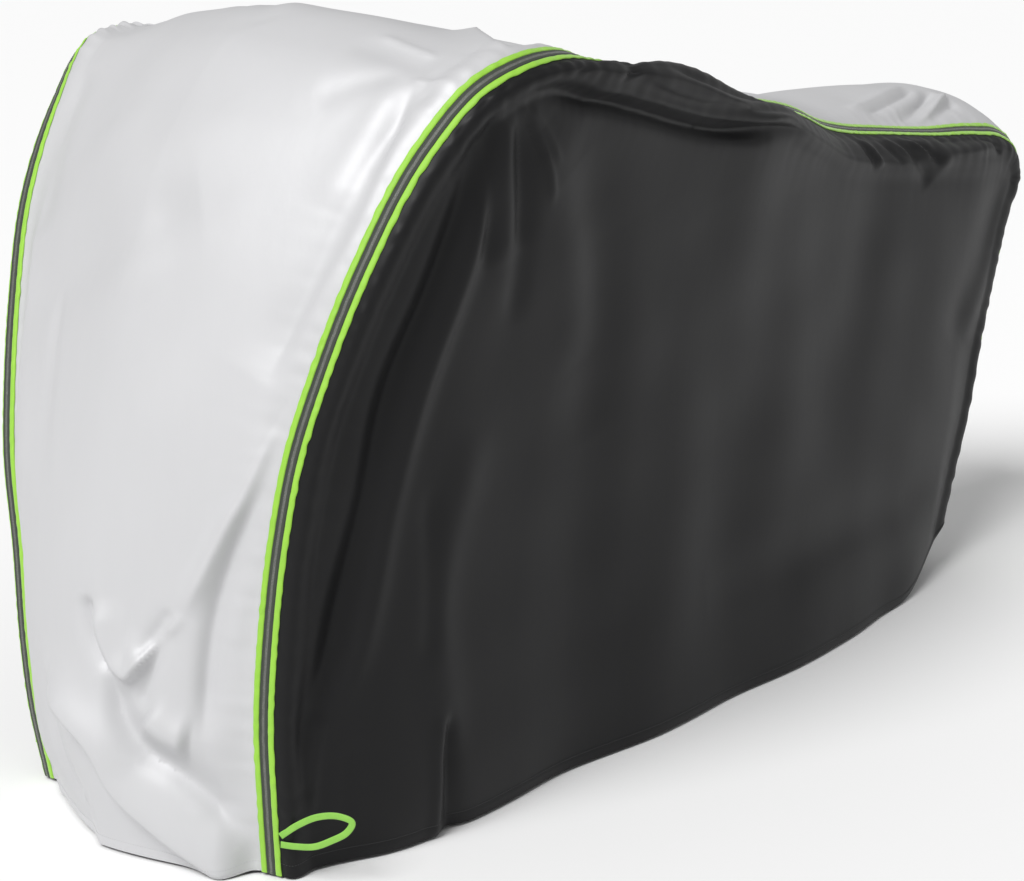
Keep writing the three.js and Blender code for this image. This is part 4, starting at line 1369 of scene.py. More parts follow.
STRIP_FOLDS = (
    # The crease that leaves the near seam, and the ridge and the valley that run on from it.
    Fold(((0.75, -0.325), (0.69, -0.298), (0.62, -0.27), (0.555, -0.245)), 0.008, -0.0035, crisp=1.5),
    Fold(((0.69, -0.302), (0.638, -0.286), (0.583, -0.267), (0.518, -0.238), (0.468, -0.215),
          (0.4, -0.182)), 0.015, 0.014, crisp=1.6),
    Fold(((0.615, -0.3), (0.54, -0.268), (0.47, -0.242), (0.365, -0.218), (0.29, -0.21), (0.21, -0.206)),
         0.02, -0.016, lean=0.35, crisp=1.7),
    Fold(((0.47, -0.292), (0.42, -0.266), (0.35, -0.256)), 0.018, 0.005),
    # The flap of the pocket at the front's foot, its tip pointing down, and the crease to its right.
    Fold(((0.4, -0.036), (0.345, -0.05), (0.31, -0.068), (0.292, -0.092), (0.318, -0.116),
          (0.352, -0.138)), 0.017, 0.016, lean=0.6, crisp=1.6),
    Fold(((0.4, -0.184), (0.352, -0.146), (0.296, -0.1)), 0.007, 0.006, crisp=1.4),
    Fold(((0.404, -0.166), (0.366, -0.138), (0.326, -0.112)), 0.01, -0.006, crisp=1.5),
    Fold(((0.4, -0.014), (0.335, -0.03), (0.288, -0.06)), 0.014, -0.014, crisp=1.5),
    Fold(((0.38, -0.162), (0.327, -0.137), (0.244, -0.108)), 0.012, -0.008, crisp=1.4),
    # The valley under the pocket, and the broad bright ridge over the hem.
    Fold(((0.3, -0.058), (0.211, -0.084), (0.178, -0.112), (0.152, -0.158), (0.118, -0.2),
          (0.058, -0.248)), 0.024, -0.022, lean=0.4, crisp=1.6, flare=1.3),
    Fold(((0.246, 0.092), (0.22, 0.024), (0.18, -0.036), (0.125, -0.066), (0.068, -0.129),
          (0.01, -0.206)), 0.022, 0.032, lean=0.45, crisp=1.7, flare=1.9, ends=(True, False)),
    Fold(((0.236, -0.12), (0.212, -0.156), (0.205, -0.184)), 0.03, 0.018),
    Fold(((0.2, 0.098), (0.125, 0.078), (0.05, 0.044)), 0.02, -0.006),
    Fold(((0.085, 0.02), (0.062, 0.03)), 0.006, 0.003),
    Fold(((0, 0.235), (0, 0.13), (0, 0)), 0.075, -0.017),
    # The tip of the bar under the cloth, and the creases that run from it.
    Fold(((1.206, -0.352), (1.11, -0.356), (0.985, -0.35), (0.89, -0.32), (0.745, -0.272)),
         0.014, -0.013, lean=-0.35, crisp=1.6, flare=2.6),
    Fold(((1.214, -0.322), (1.13, -0.325), (1, -0.315)), 0.022, 0.004, flare=1.7),
    Fold(((1.226, -0.318), (1.196, -0.271), (1.153, -0.215)), 0.016, -0.0035, flare=1.6),
    Fold(((1.216, -0.338), (1.217, -0.385), (1.214, -0.425)), 0.008, 0.005, crisp=1.4),
    Fold(((1.196, -0.372), (1.178, -0.4)), 0.011, -0.003),
    Fold(((1.286, -0.225), (1.28, -0.282), (1.272, -0.345)), 0.007, 0.0045, crisp=1.4),
    Fold(((1.262, -0.2), (1.256, -0.28), (1.246, -0.36)), 0.022, -0.004),
    # The sharp crease on the crest and the hollow behind it.
    Fold(((1.412, -0.262), (1.38, -0.31), (1.35, -0.362), (1.304, -0.44)),
         0.018, 0.015, lean=-0.6, crisp=1.3),
    Fold(((1.44, -0.28), (1.392, -0.362), (1.35, -0.43)), 0.016, -0.016, crisp=1.6),
    # Soft folds over the rest of the front and the top.
    Fold(((0.784, 0.281), (0.89, 0.06), (0.974, -0.104)), 0.055, -0.012),
    Fold(((1.18, 0.36), (1.04, 0.34), (0.88, 0.28)), 0.045, -0.01),
    Fold(((0.815, 0.18), (0.735, 0.155), (0.655, 0.146), (0.505, 0.136)), 0.013, -0.005, flare=2.6),
    Fold(((0.7, 0.25), (0.62, 0.225), (0.52, 0.215)), 0.03, 0.005),
    Fold(((1.335, 0.07), (1.3, 0.01), (1.255, -0.03)), 0.018, -0.004, flare=1.6),
    Fold(((1.24, 0.37), (1.32, 0.36), (1.44, 0.34)), 0.085, -0.004),
    Fold(((1.34, 0.27), (1.33, 0.19), (1.33, 0.1)), 0.06, 0.004),
    Fold(((1.1, 0.15), (0.96, 0.06), (0.82, -0.06)), 0.07, 0.006),
    Fold(((1.56, 0.3), (1.64, 0.06), (1.58, -0.22)), 0.07, -0.012),
    Fold(((1.62, 0.24), (1.56, 0.06), (1.5, -0.08)), 0.022, 0.005, crisp=1.7),
    Fold(((1.9, -0.24), (1.96, 0), (1.9, 0.24)), 0.07, -0.01),
    Fold(((2.24, -0.19), (2.33, 0), (2.3, 0.18)), 0.06, -0.009),
    # The creases of the tail.
    Fold(((2.64, -0.12), (2.78, -0.085), (2.93, -0.045)), 0.012, 0.007, crisp=1.6),
    Fold(((2.7, -0.132), (2.83, -0.098), (2.95, -0.062)), 0.01, -0.008, crisp=1.6),
    Fold(((2.79, -0.15), (2.9, -0.116), (3.01, -0.072)), 0.013, -0.015, crisp=1.5),
    Fold(((2.855, -0.148), (2.95, -0.117), (3.045, -0.084)), 0.009, 0.014, crisp=1.4),
    Fold(((2.905, -0.15), (2.98, -0.124), (3.055, -0.104)), 0.014, -0.013, crisp=1.5),
    Fold(((2.88, 0.12), (2.98, 0.07), (3.06, 0.04)), 0.022, -0.009),
    Fold(((3.26, -0.07), (3.5, -0.05), (3.8, -0.08)), 0.04, 0.01),
    Fold(((3.3, 0.08), (3.56, 0.06), (3.84, 0.09)), 0.04, -0.009),
)


@dataclass
class CentrePanel:
    """The silver strip over the front, the top and the back.

    Attributes:
        seam: The near seam.
        far_seam: The far seam, as if it were on the near side.
        fit: How it fits the trim.
        folds: Its folds, placed by the way along the near seam and by y.
        slack: The uneven waves all over it.
        puckers: The short waves beside the trim.
        pucker_reach: How far they reach.
        pucker_from: Where they start, as a share of the flat band.
        far_offset: How much further on in their waves the far side's puckers are.
        along_cells: The grid's cell sizes by the share of the way along.
    """

    seam: SeamLine
    far_seam: SeamLine
    fit: TrimFit
    hem: Hem = field(default_factory=Hem)
    folds: tuple[Fold, ...] = STRIP_FOLDS
    slack: Ripples = Ripples(0.0012, 0.26, seed=11)
    puckers: Ripples = Ripples(0.0004, 0.034, seed=12, turn=0.22)
    pucker_reach: float = 0.035
    pucker_from: float = 0.85
    far_offset: float = 3.0
    flat_width: float = 0.93
    flat_length: float = 4.03
    flat_area: float = 2.4
    along_cells: Pairs = (
        (0, 0.0026), (0.006, 0.003), (0.012, 0.0055), (0.25, 0.0055), (0.31, 0.0045), (0.38, 0.0055),
        (0.43, 0.011), (0.62, 0.011), (0.66, 0.0065), (0.79, 0.0065), (0.86, 0.013), (0.985, 0.013),
        (0.994, 0.003), (1, 0.0026),
    )
    across_cells: Pairs = (
        (0, 0.004), (0.06, 0.005), (0.3, 0.0072), (0.55, 0.009), (0.9, 0.008), (0.96, 0.005),
        (1, 0.004),
    )

    def lines(self) -> tuple[Array, Array]:
        """The grid's places: along the seam, and shares across between the flat bands."""
        along = grid_lines(self.seam.end, self.along_cells) * self.seam.end
        widest = 2 * float(self.seam.rows[:, 1].max())
        return along, grid_lines(widest, self.across_cells)

    def surface(self) -> tuple[Array, Array, Array]:
        """Works out the draped cloth.

        Returns:
            The grid's middle points, the way out at each, and its texture measures.
        """
        along, shares = self.lines()
        fit = self.fit
        half = self.seam.half(along)[:, None]
        edge = np.array([fit.panel_gap / 2, fit.flat_band / 2])
        inner = fit.flat_band + shares[None, :] * (2 * half - 2 * fit.flat_band)
        outer = np.broadcast_to(edge, (len(along), 2))
        from_near = np.concatenate([outer, inner, 2 * half - outer[:, ::-1]], axis=1)
        t = from_near / half - 1
        distance = np.minimum(from_near, 2 * half - from_near)
        station = np.broadcast_to(along[:, None], t.shape)
        near, far = self.seam.frames(along), self.far_seam.frames(along)
        far_side = (t > 0)[..., None]
        near_flat = near.point[:, None] - near.across[:, None] * distance[..., None]
        far_flat = far.point[:, None] - far.across[:, None] * distance[..., None]
        flat = np.where(far_side, mirrored(far_flat), near_flat)
        blend = smooth((distance - fit.flat_band) / fit.band_blend)[..., None]
        near_bare = self.seam.strip_point(station, t)
        bare = np.where(far_side, self.far_seam.strip_point(station, t), near_bare)
        base = flat * (1 - blend) + bare * blend
        across_way = t * half
        height = sum(fold.height(station, across_way) for fold in self.folds)
        height = (height + self.slack.at(station, across_way)) * blend[..., 0]
        pucker = self.puckers.at(station + self.far_offset * (t > 0), distance)
        pucker *= smooth((distance - fit.flat_band * self.pucker_from) / fit.pucker_start)
        height += pucker * np.exp(-np.maximum(distance - fit.flat_band, 0) / self.pucker_reach)
        from_hem = np.minimum(station, self.seam.end - station)
        height += self.hem.height(from_hem) * (distance > fit.flat_band)
        middle = base + grid_normals(base) * height[..., None]
        trim_out = np.where(far_side, mirrored(far.out)[:, None], near.out[:, None])
        ease = smooth((distance - fit.flat_band) / (fit.band_blend * 0.5))[..., None]
        out = unit(trim_out * (1 - ease) + grid_normals(middle) * ease)
        return middle, out, np.stack([across_way, station], axis=-1)

    def build(self, maker: MeshMaker, wardrobe: Wardrobe) -> None:
        """Makes the panel and the stitches of its hems."""
        middle, out, coords = self.surface()
        panel = maker.sheet("centre_cloth", middle, out, self.fit.cloth, coords)
        wardrobe.dress(panel, Slot.SILVER, ["centre_panel"])
        line = self.hem.stitch_line()
        surface = middle + out * self.fit.cloth / 2
        for name, place in (("front", line), ("rear", self.seam.end - line)):
            row = int(np.abs(coords[:, 0, 1] - place).argmin())
            stitches = self.hem.sew(maker, name, surface[row], out[row])
            wardrobe.dress(stitches, Slot.SILVER, thread=wardrobe.grey_thread)


NEAR_FOLDS = (
    # The long valley beside the front seam, and the ridge that goes with it.
    Fold(((0.272, 1.11), (0.262, 1.02), (0.214, 0.874), (0.157, 0.739), (0.123, 0.566),
          (0.089, 0.411), (0.064, 0.289), (0.02, 0.183)), 0.026, -0.02),
    Fold(((0.308, 1.07), (0.263, 0.919), (0.2, 0.734), (0.147, 0.555), (0.124, 0.407),
          (0.098, 0.312), (0.04, 0.213)), 0.026, 0.014),
    # The creases that run out from the tip of the bar.
    Fold(((0.28, 1.11), (0.294, 1.043), (0.298, 0.973), (0.306, 0.88)), 0.013, -0.007, flare=1.6),
    Fold(((0.312, 1.1), (0.325, 1.03), (0.344, 0.95), (0.35, 0.88)), 0.019, 0.006, flare=1.5),
    Fold(((0.334, 1.106), (0.352, 1.05), (0.364, 0.985), (0.38, 0.9)), 0.014, -0.006, crisp=1.7, flare=2),
    Fold(((0.35, 1.094), (0.372, 0.999), (0.385, 0.78)), 0.026, -0.006),
    Fold(((0.332, 1.122), (0.371, 1.083), (0.408, 1.03), (0.44, 0.96)), 0.007, 0.0045, crisp=1.5),
    Fold(((0.346, 1.105), (0.372, 1.072), (0.4, 1.03)), 0.006, -0.003, crisp=1.5),
    Fold(((0.352, 1.115), (0.4, 1.072), (0.44, 1.02)), 0.006, 0.003, crisp=1.5),
    Fold(((0.39, 1.08), (0.48, 0.95), (0.57, 0.69)), 0.05, 0.006),
    Fold(((0.48, 1.01), (0.57, 0.86), (0.62, 0.56)), 0.07, -0.007),
    # The folds at the foot and the soft ones over the middle.
    Fold(((0.33, 0.64), (0.262, 0.42), (0.28, 0.12)), 0.044, 0.009),
    Fold(((0.228, 0.57), (0.24, 0.416), (0.236, 0.28)), 0.02, -0.005),
    Fold(((0.279, 0.195), (0.28, 0.113), (0.284, 0.06), (0.293, 0.004)),
         0.009, -0.011, crisp=1.5, flare=2.6, ends=(True, False)),
    Fold(((0.256, 0.2), (0.256, 0.11), (0.258, 0.01)), 0.014, 0.006, ends=(True, False)),
    Fold(((0.06, 0.25), (0.044, 0.16), (0.04, 0.08)), 0.01, 0.005),
    Fold(((0.11, 0.2), (0.1, 0.12), (0.11, 0.03)), 0.02, -0.005),
    Fold(((0.64, 0.9), (0.72, 0.62), (0.7, 0.22)), 0.095, 0.005),
    Fold(((0.88, 0.9), (0.96, 0.6), (0.94, 0.1)), 0.09, -0.005),
    Fold(((1.18, 0.88), (1.19, 0.6), (1.13, 0.12)), 0.1, 0.006),
    Fold(((1.84, 0.19), (1.34, 0.21), (0.96, 0.21)), 0.055, -0.009),
    Fold(((1.5, 0.8), (1.46, 0.52), (1.42, 0.16)), 0.09, -0.005),
    # The rear edge.
    Fold(((2.07, 0.8), (2.01, 0.68), (1.87, 0.48)), 0.06, -0.005),
    Fold(((2.118, 0.79), (2.085, 0.7), (2.05, 0.62), (1.93, 0.48)), 0.024, 0.005, flare=1.8),
)
NEAR_SHOULDER_FOLDS = (
    # The lobe behind the bar, its short deep crease, and the notch to the next lobe.
    Fold(((0.04, 0.03), (0.11, 0.042), (0.2, 0.062)), 0.034, 0.018),
    Fold(((0.088, 0.04), (0.122, 0.078), (0.14, 0.118)), 0.009, -0.011, crisp=1.5),
    Fold(((0.215, 0.05), (0.245, 0.085), (0.268, 0.12)), 0.013, -0.013, crisp=1.7),
    Fold(((0.3, 0.11), (0.4, 0.124), (0.52, 0.118), (0.63, 0.086)), 0.01, 0.005),
    Fold(((0.36, 0.085), (0.5, 0.088), (0.62, 0.064), (0.74, 0.04)), 0.011, -0.007, crisp=1.7),
    # The lip under the lobes and the deep valley under the lip.
    Fold(((0.15, 0.13), (0.25, 0.14), (0.35, 0.15), (0.504, 0.148), (0.629, 0.12), (0.79, 0.088)),
         0.01, 0.008, crisp=1.6),
    Fold(((0.08, 0.146), (0.208, 0.16), (0.361, 0.176), (0.516, 0.174), (0.648, 0.146), (0.8, 0.112)),
         0.016, -0.018, crisp=1.6, flare=0.8),
    Fold(((0.48, 0.128), (0.62, 0.104), (0.77, 0.07)), 0.009, -0.003, crisp=1.6),
    # The pleats under the tail, and the swell and the short crease behind them.
    Fold(((1.138, 0.018), (1.146, 0.068), (1.172, 0.118)), 0.009, 0.006, crisp=1.6),
    Fold(((1.118, 0.02), (1.124, 0.07), (1.148, 0.124)), 0.01, -0.005),
    Fold(((1.19, 0.018), (1.208, 0.06), (1.248, 0.112)), 0.009, -0.004, crisp=1.7),
    Fold(((1.222, 0.016), (1.244, 0.054), (1.288, 0.1)), 0.008, 0.005, crisp=1.6),
    Fold(((1.258, 0.018), (1.29, 0.08), (1.364, 0.15)), 0.016, -0.009, crisp=1.7, flare=1.5),
    Fold(((1.296, 0.016), (1.318, 0.056), (1.352, 0.1)), 0.007, 0.006, crisp=1.6),
    Fold(((1.322, 0.018), (1.345, 0.064), (1.388, 0.116)), 0.01, -0.006, crisp=1.7),
    Fold(((1.37, 0.118), (1.42, 0.09), (1.49, 0.082), (1.56, 0.074), (1.64, 0.052)), 0.02, 0.01),
    Fold(((1.42, 0.04), (1.52, 0.034), (1.6, 0.03)), 0.014, -0.007),
    Fold(((1.592, 0.024), (1.625, 0.054), (1.644, 0.09)), 0.011, -0.009, crisp=1.6),
)
FAR_FOLDS = (
    Fold(((0.3, 1.1), (0.19, 0.76), (0.09, 0.33)), 0.036, -0.017),
    Fold(((0.352, 1.05), (0.29, 0.8), (0.23, 0.42)), 0.044, 0.013),
    Fold(((0.42, 1.05), (0.5, 0.88), (0.52, 0.56)), 0.04, -0.011),
    Fold(((0.56, 0.96), (0.64, 0.7), (0.64, 0.26)), 0.075, 0.012),
    Fold(((0.82, 0.88), (0.86, 0.56), (0.84, 0.12)), 0.075, -0.012),
    Fold(((1.08, 0.9), (1.1, 0.56), (1.06, 0.14)), 0.085, 0.012),
    Fold(((1.39, 0.86), (1.35, 0.52), (1.31, 0.14)), 0.08, -0.011),
    Fold(((1.76, 0.24), (1.42, 0.23), (1.12, 0.19)), 0.06, -0.01),
    Fold(((1.61, 0.9), (1.7, 0.83), (1.78, 0.74)), 0.024, -0.011),
    Fold(((1.8, 0.87), (1.9, 0.85), (2.01, 0.85)), 0.028, 0.009),
    Fold(((2.05, 0.78), (1.98, 0.64), (1.86, 0.4)), 0.036, -0.011),
)


@dataclass
class SidePanel:
    """A black side panel, hanging from the seam to its hem.

    Attributes:
        side: Which side it is on.
        folds: Its folds by the way back and the height.
        shoulder_folds: Its folds by the way back along the top seam and the way down from it.
        hem_start: Over what distance from the trim the turned hem comes in.
        band_step: How close the steps along the flat band are.
        back_cells: The grid's cell sizes by the share of the way back.
    """

    side: Side
    seam: SeamLine
    fit: TrimFit
    folds: tuple[Fold, ...]
    shoulder_folds: tuple[Fold, ...] = ()
    hem: Hem = field(default_factory=Hem)
    slack: Ripples = Ripples(0.0012, 0.3, seed=21)
    puckers: Ripples = Ripples(0.0008, 0.036, seed=22, turn=0.25)
    pucker_reach: float = 0.04
    hem_start: float = 0.004
    band_step: float = 0.004
    flat_width: float = 1.3
    flat_length: float = 2.35
    flat_area: float = 2.3
    back_cells: Pairs = (
        (0, 0.0035), (0.04, 0.005), (0.25, 0.0055), (0.45, 0.0075), (0.75, 0.0085), (0.9, 0.0065),
        (0.97, 0.005), (1, 0.0035),
    )
    up_cells: Pairs = (
        (0, 0.0026), (0.018, 0.003), (0.035, 0.007), (0.3, 0.0085), (0.7, 0.008), (0.82, 0.0055),
        (0.95, 0.004), (1, 0.003),
    )

    def band(self) -> tuple[Frames, Array]:
        """The seam's axes in close steps, and the inner edge of the flat band there."""
        frames = self.seam.frames(np.arange(0.0, self.seam.end + self.band_step, self.band_step))
        return frames, frames.beside(self.fit.flat_band)

    def patch(self) -> SidePatch:
        """The panel's surface between the flat bands."""
        seam = self.seam

        def band_at(along: Array) -> Array:
            """Points of the flat band's inner edge."""
            flat = np.atleast_1d(along).ravel()
            points = seam.frames(flat).beside(self.fit.flat_band)
            return points.reshape(*np.shape(along), 3)

        return SidePatch(
            front=lambda v: band_at(np.asarray(v) * seam.top_start),
            rear=lambda v: band_at(seam.end - np.asarray(v) * (seam.end - seam.tail)),
            top=lambda u: band_at(seam.top_start + np.asarray(u) * (seam.tail - seam.top_start)),
            hem=hem_between(band_at(np.array(0.0)), band_at(np.array(seam.end))),
        )

    def nearest_band(self, points: Array, frames: Frames, band: Array) -> tuple[Array, Array, Array]:
        """Finds the nearest place on the flat band's inner edge for each point.

        Args:
            points: The points, one row.
            frames: The seam's axes in close steps.
            band: The band's inner edge there.

        Returns:
            The gap to it, the way out there, and the point as far out in the trim's plane.
        """
        nearest = nearest_of(points, band)
        side_across, side_out = frames.bent()
        best_gap = np.full(len(points), np.inf)
        out = np.zeros_like(points)
        flat = np.zeros_like(points)
        for step in (-1, 0):
            k = np.clip(nearest + step, 0, len(band) - 2)
            run = band[k + 1] - band[k]
            t = np.clip(dot(points - band[k], run) / np.maximum(dot(run, run), TINY**2), 0.0, 1.0)
            place = band[k] + run * t
            gap = np.linalg.norm(points - place, axis=1)
            across = unit(side_across[k] * (1 - t) + side_across[k + 1] * t)
            way_out = unit(side_out[k] * (1 - t) + side_out[k + 1] * t)
            closer = gap < best_gap
            best_gap = np.where(closer, gap, best_gap)
            out = np.where(closer[:, None], way_out, out)
            flat = np.where(closer[:, None], place + across * gap[:, None], flat)
        return best_gap, out, flat

    def surface(self) -> tuple[Array, Array, Array]:
        """Works out the draped cloth of the near side, or of the far side seen as the near one.

        Returns:
            The grid's middle points, the way out at each, and its texture measures.
        """
        fit, seam, patch = self.fit, self.seam, self.patch()
        top_run = seam.tail - seam.top_start
        u = grid_lines(top_run, self.back_cells)
        v = grid_lines(seam.top_start, self.up_cells)
        frames, band = self.band()
        bare = patch.grid(u, v[:-1])
        gap, _, flat = self.nearest_band(bare.reshape(-1, 3), frames, band)
        blend = smooth(gap / fit.band_blend).reshape(*bare.shape[:2], 1)
        base = flat.reshape(bare.shape) * (1 - blend) + bare * blend
        top = seam.frames(seam.top_start + u * top_run)
        base = np.concatenate([base, top.beside(fit.flat_band)[None]])
        fall = patch.fall(u)[None]
        down, up = (1 - v)[:, None] * fall, v[:, None] * fall
        back = np.broadcast_to(u * top_run, down.shape)
        x, z = base[..., 0], base[..., 2]
        height = sum(fold.height(x, z) for fold in self.folds)
        height += sum(fold.height(back, down) for fold in self.shoulder_folds)
        height += self.slack.at(x, z)
        gap, band_out, _ = self.nearest_band(base.reshape(-1, 3), frames, band)
        gap = gap.reshape(down.shape)
        free = smooth(gap / fit.band_blend)
        along = self.along_of(base, frames, band)
        pucker = self.puckers.at(along, gap) * smooth(gap / fit.pucker_start)
        pucker = pucker * np.exp(-gap / self.pucker_reach)
        total = height * free + pucker + self.hem.height(up) * smooth(gap / self.hem_start)
        way = -grid_normals(base)
        middle = base + way * total[..., None]
        ease = smooth(gap / (fit.band_blend * 0.5))[..., None]
        out = unit(band_out.reshape(base.shape) * (1 - ease) - grid_normals(middle) * ease)
        return self.with_seam_edge(middle, out, back, up, top)

    def along_of(self, points: Array, frames: Frames, band: Array) -> Array:
        """How far along the seam the nearest place of each point is."""
        rows = points.reshape(-1, 3)
        nearest = nearest_of(rows, band)
        step = ((rows - band[nearest]) * frames.way[nearest]).sum(axis=1)
        along = frames.along[nearest] + np.clip(step, -self.band_step, self.band_step)
        return along.reshape(points.shape[:2])

    def with_seam_edge(
        self, middle: Array, out: Array, back: Array, up: Array, top: Frames
    ) -> tuple[Array, Array, Array]:
        """Adds the flat band's outer edge, at the seam itself, along the front, the top and the rear.

        Args:
            middle: The grid's middle points.
            out: The way out at each.
            back: The way back along the top seam of each.
            up: The way up from the hem of each.
            top: The seam's axes along the top.

        Returns:
            The wider grid, the way out at each of its points, and its texture measures.
        """
        seam, fit = self.seam, self.fit
        share = up[:, 0] / up[-1, 0]
        front = seam.frames(share * seam.top_start)
        rear = seam.frames(seam.end - up[:, -1] / up[-1, -1] * (seam.end - seam.tail))
        runs = (front, rear, top)
        middle = self.ringed(middle, *(run.beside(run.BEND_AT) for run in runs))
        middle = self.ringed(middle, *(run.beside(fit.panel_gap / 2) for run in runs))
        out = self.ringed(out, *(unit(run.out + run.bent()[1]) for run in runs))
        out = self.ringed(out, *(run.out for run in runs))
        for step in (fit.flat_band - top.BEND_AT, top.BEND_AT):
            back = np.concatenate([back[:, :1] - step, back, back[:, -1:] + step], axis=1)
            back = np.concatenate([back, back[-1:]])
            up = np.concatenate([up[:, :1], up, up[:, -1:]], axis=1)
            up = np.concatenate([up, up[-1:] + step])
        return middle, out, np.stack([back, up], axis=-1)

    @staticmethod
    def ringed(grid: Array, front: Array, rear: Array, top: Array) -> Array:
        """Adds a column at the front and at the rear of a grid, and a row at its top.

        Args:
            grid: The grid of points, or of ways.
            front: The front column, without the rows that were added at the top before.
            rear: The rear column, likewise.
            top: The top row, without the columns that were added before.

        Returns:
            The wider grid.
        """
        more = len(grid) - len(front)
        ends = [np.concatenate([end, end[-1:].repeat(more, axis=0)])[:, None] for end in (front, rear)]
        wider = np.concatenate([ends[0], grid, ends[1]], axis=1)
        more = (wider.shape[1] - len(top)) // 2
        row = np.concatenate([top[:1].repeat(more, axis=0), top, top[-1:].repeat(more, axis=0)])
        return np.concatenate([wider, row[None]])

    def build(self, maker: MeshMaker, wardrobe: Wardrobe) -> None:
        """Makes the panel and the stitches of its hem."""
        middle, out, coords = self.surface()
        rows, columns = middle.shape[:2]
        keep = np.ix_(odd_lines(rows), odd_lines(columns))
        middle, out, coords = middle[keep], out[keep], coords[keep]
        middle, out = self.side.place(middle), self.side.place(out)
        name = self.side.value
        panel = maker.sheet(f"side_cloth_{name}", middle, out, self.fit.cloth, coords)
        wardrobe.dress(panel, Slot.BLACK, [f"side_panel_{name}"])
        row = int(np.abs(coords[:, columns // 2, 1] - self.hem.stitch_line()).argmin())
        surface = middle + out * self.fit.cloth / 2
        stitches = self.hem.sew(maker, name, surface[row], out[row])
        wardrobe.dress(stitches, Slot.BLACK, thread=wardrobe.black_thread)


@dataclass
class SeamTrim:
    """The woven tape and the two pipings along one seam, with the tape's sewing.

    Attributes:
        edge_drop: How far the tape's edges turn down.
        edge_power: How close to the edge that starts.
        tape_waver: How much the tape wavers beside the pipings.
        piping_power: How full a piping's section is; a lower one is fuller.
        waver: How the trim wavers across.
        swell: How the pipings swell.
    """

    side: Side
    seam: SeamLine
    fit: TrimFit
    step: float = 0.0042
    tape_sides: int = 7
    tape_crown: float = 0.0002
    edge_drop: float = 0.0004
    edge_power: int = 8
    tape_waver: float = 0.4
    stitch: float = 0.0030
    stitch_gap: float = 0.0013
    thread: float = 0.0005
    stitch_inset: float = 0.0014
    piping_sides: int = 9
    piping_power: float = 0.62
    waver: Ripples = Ripples(0.0004, 0.03, seed=31, turn=0.0)
    swell: Ripples = Ripples(0.0003, 0.022, seed=32, turn=0.0)

    def __post_init__(self) -> None:
        """Works out the seam's axes in close steps."""
        count = int(self.seam.end / self.step)
        self.frames = self.seam.frames(np.linspace(0.0, self.seam.end, count + 1))
        self.base = self.fit.cloth / 2 + self.fit.lift

    def raised(self, across: Array, height: Array, beyond_bend: bool = False) -> Array:
        """Points across from the seam and out from the cloth's middle, ring by ring.

        Args:
            across: Distances across, a row for each ring.
            height: Distances out over the cloth, a row for each ring.
            beyond_bend: Whether they lie on the side panel's edge beyond the bend.

        Returns:
            The rings' points.
        """
        frames = self.frames
        flat = min(frames.BEND_AT, float(across.min())) if beyond_bend else 0.0
        ways, outs = frames.bent() if beyond_bend else (frames.across, frames.out)
        return (
            frames.point[:, None]
            + frames.across[:, None] * flat
            + ways[:, None] * (across - flat)[..., None]
            + outs[:, None] * (self.base + height)[..., None]
        )

    def build_tape(self, maker: MeshMaker, wardrobe: Wardrobe) -> None:
        """Makes the woven tape and the stitches along both its edges."""
        fit = self.fit
        half = fit.tape_width / 2
        upper = np.linspace(1.0, -1.0, self.tape_sides)
        crown = fit.tape_thick + self.tape_crown * (1 - upper**2)
        crown = crown - self.edge_drop * np.abs(upper) ** self.edge_power
        across = np.concatenate([upper * half, [-half, half]])
        height = np.concatenate([crown, [0.0, 0.0]])
        shape = (len(self.frames.along), len(across))
        wave = self.waver.at(self.frames.along, np.zeros(shape[0]))[:, None] * self.tape_waver
        rings = self.raised(np.broadcast_to(across, shape) + wave, np.broadcast_to(height, shape))
        name = self.side.value
        tape = maker.ribbon(f"woven_tape_{name}", self.side.place(rings), self.frames.along, across)
        wardrobe.dress(tape, Slot.TAPE, [f"seam_tape_{name}"])
        for edge, sign in (("outer", 1.0), ("inner", -1.0)):
            place = np.full((shape[0], 1), sign * (half - self.stitch_inset))
            line = self.raised(place + wave, np.full((shape[0], 1), fit.tape_thick))[:, 0]
            points, ways, outs = stitch_places(line, self.frames.out, self.stitch + self.stitch_gap)
            stitches = maker.stitches(
                f"tape_stitches_{edge}_{name}", self.side.place(points), self.side.place(ways),
                self.side.place(outs), self.stitch, self.thread,
            )
            wardrobe.dress(stitches, Slot.TAPE, thread=wardrobe.black_thread)

    def build_piping(self, maker: MeshMaker, wardrobe: Wardrobe, sign: float) -> None:
        """Makes one piping.

        Args:
            maker: Builds the mesh.
            wardrobe: Holds the finishes.
            sign: 1 for the piping on the side panel, -1 for the one on the strip.
        """
        fit = self.fit
        inner = fit.tape_width / 2 + fit.piping_gap
        angle = np.linspace(0.0, math.pi, self.piping_sides)
        share = (1 - np.cos(angle)) / 2
        crown = np.sin(angle) ** self.piping_power
        along = self.frames.along
        zero = np.zeros_like(along)
        width = (fit.piping_width + self.waver.at(along + sign, zero))[:, None]
        thick = (fit.piping_thick + self.swell.at(along + sign, zero))[:, None]
        rings = self.raised(sign * (inner + share[None] * width), crown[None] * thick, sign > 0)
        where = "side" if sign > 0 else "centre"
        name = self.side.value
        girth = share * fit.piping_width
        piping = maker.ribbon(f"piping_{where}_cord_{name}", self.side.place(rings), along, girth)
        wardrobe.dress(piping, Slot.PIPING, [f"piping_{where}_{name}"])

    def build(self, maker: MeshMaker, wardrobe: Wardrobe) -> None:
        """Makes all the trim of the seam."""
        self.build_tape(maker, wardrobe)
        for sign in (1.0, -1.0):
            self.build_piping(maker, wardrobe, sign)


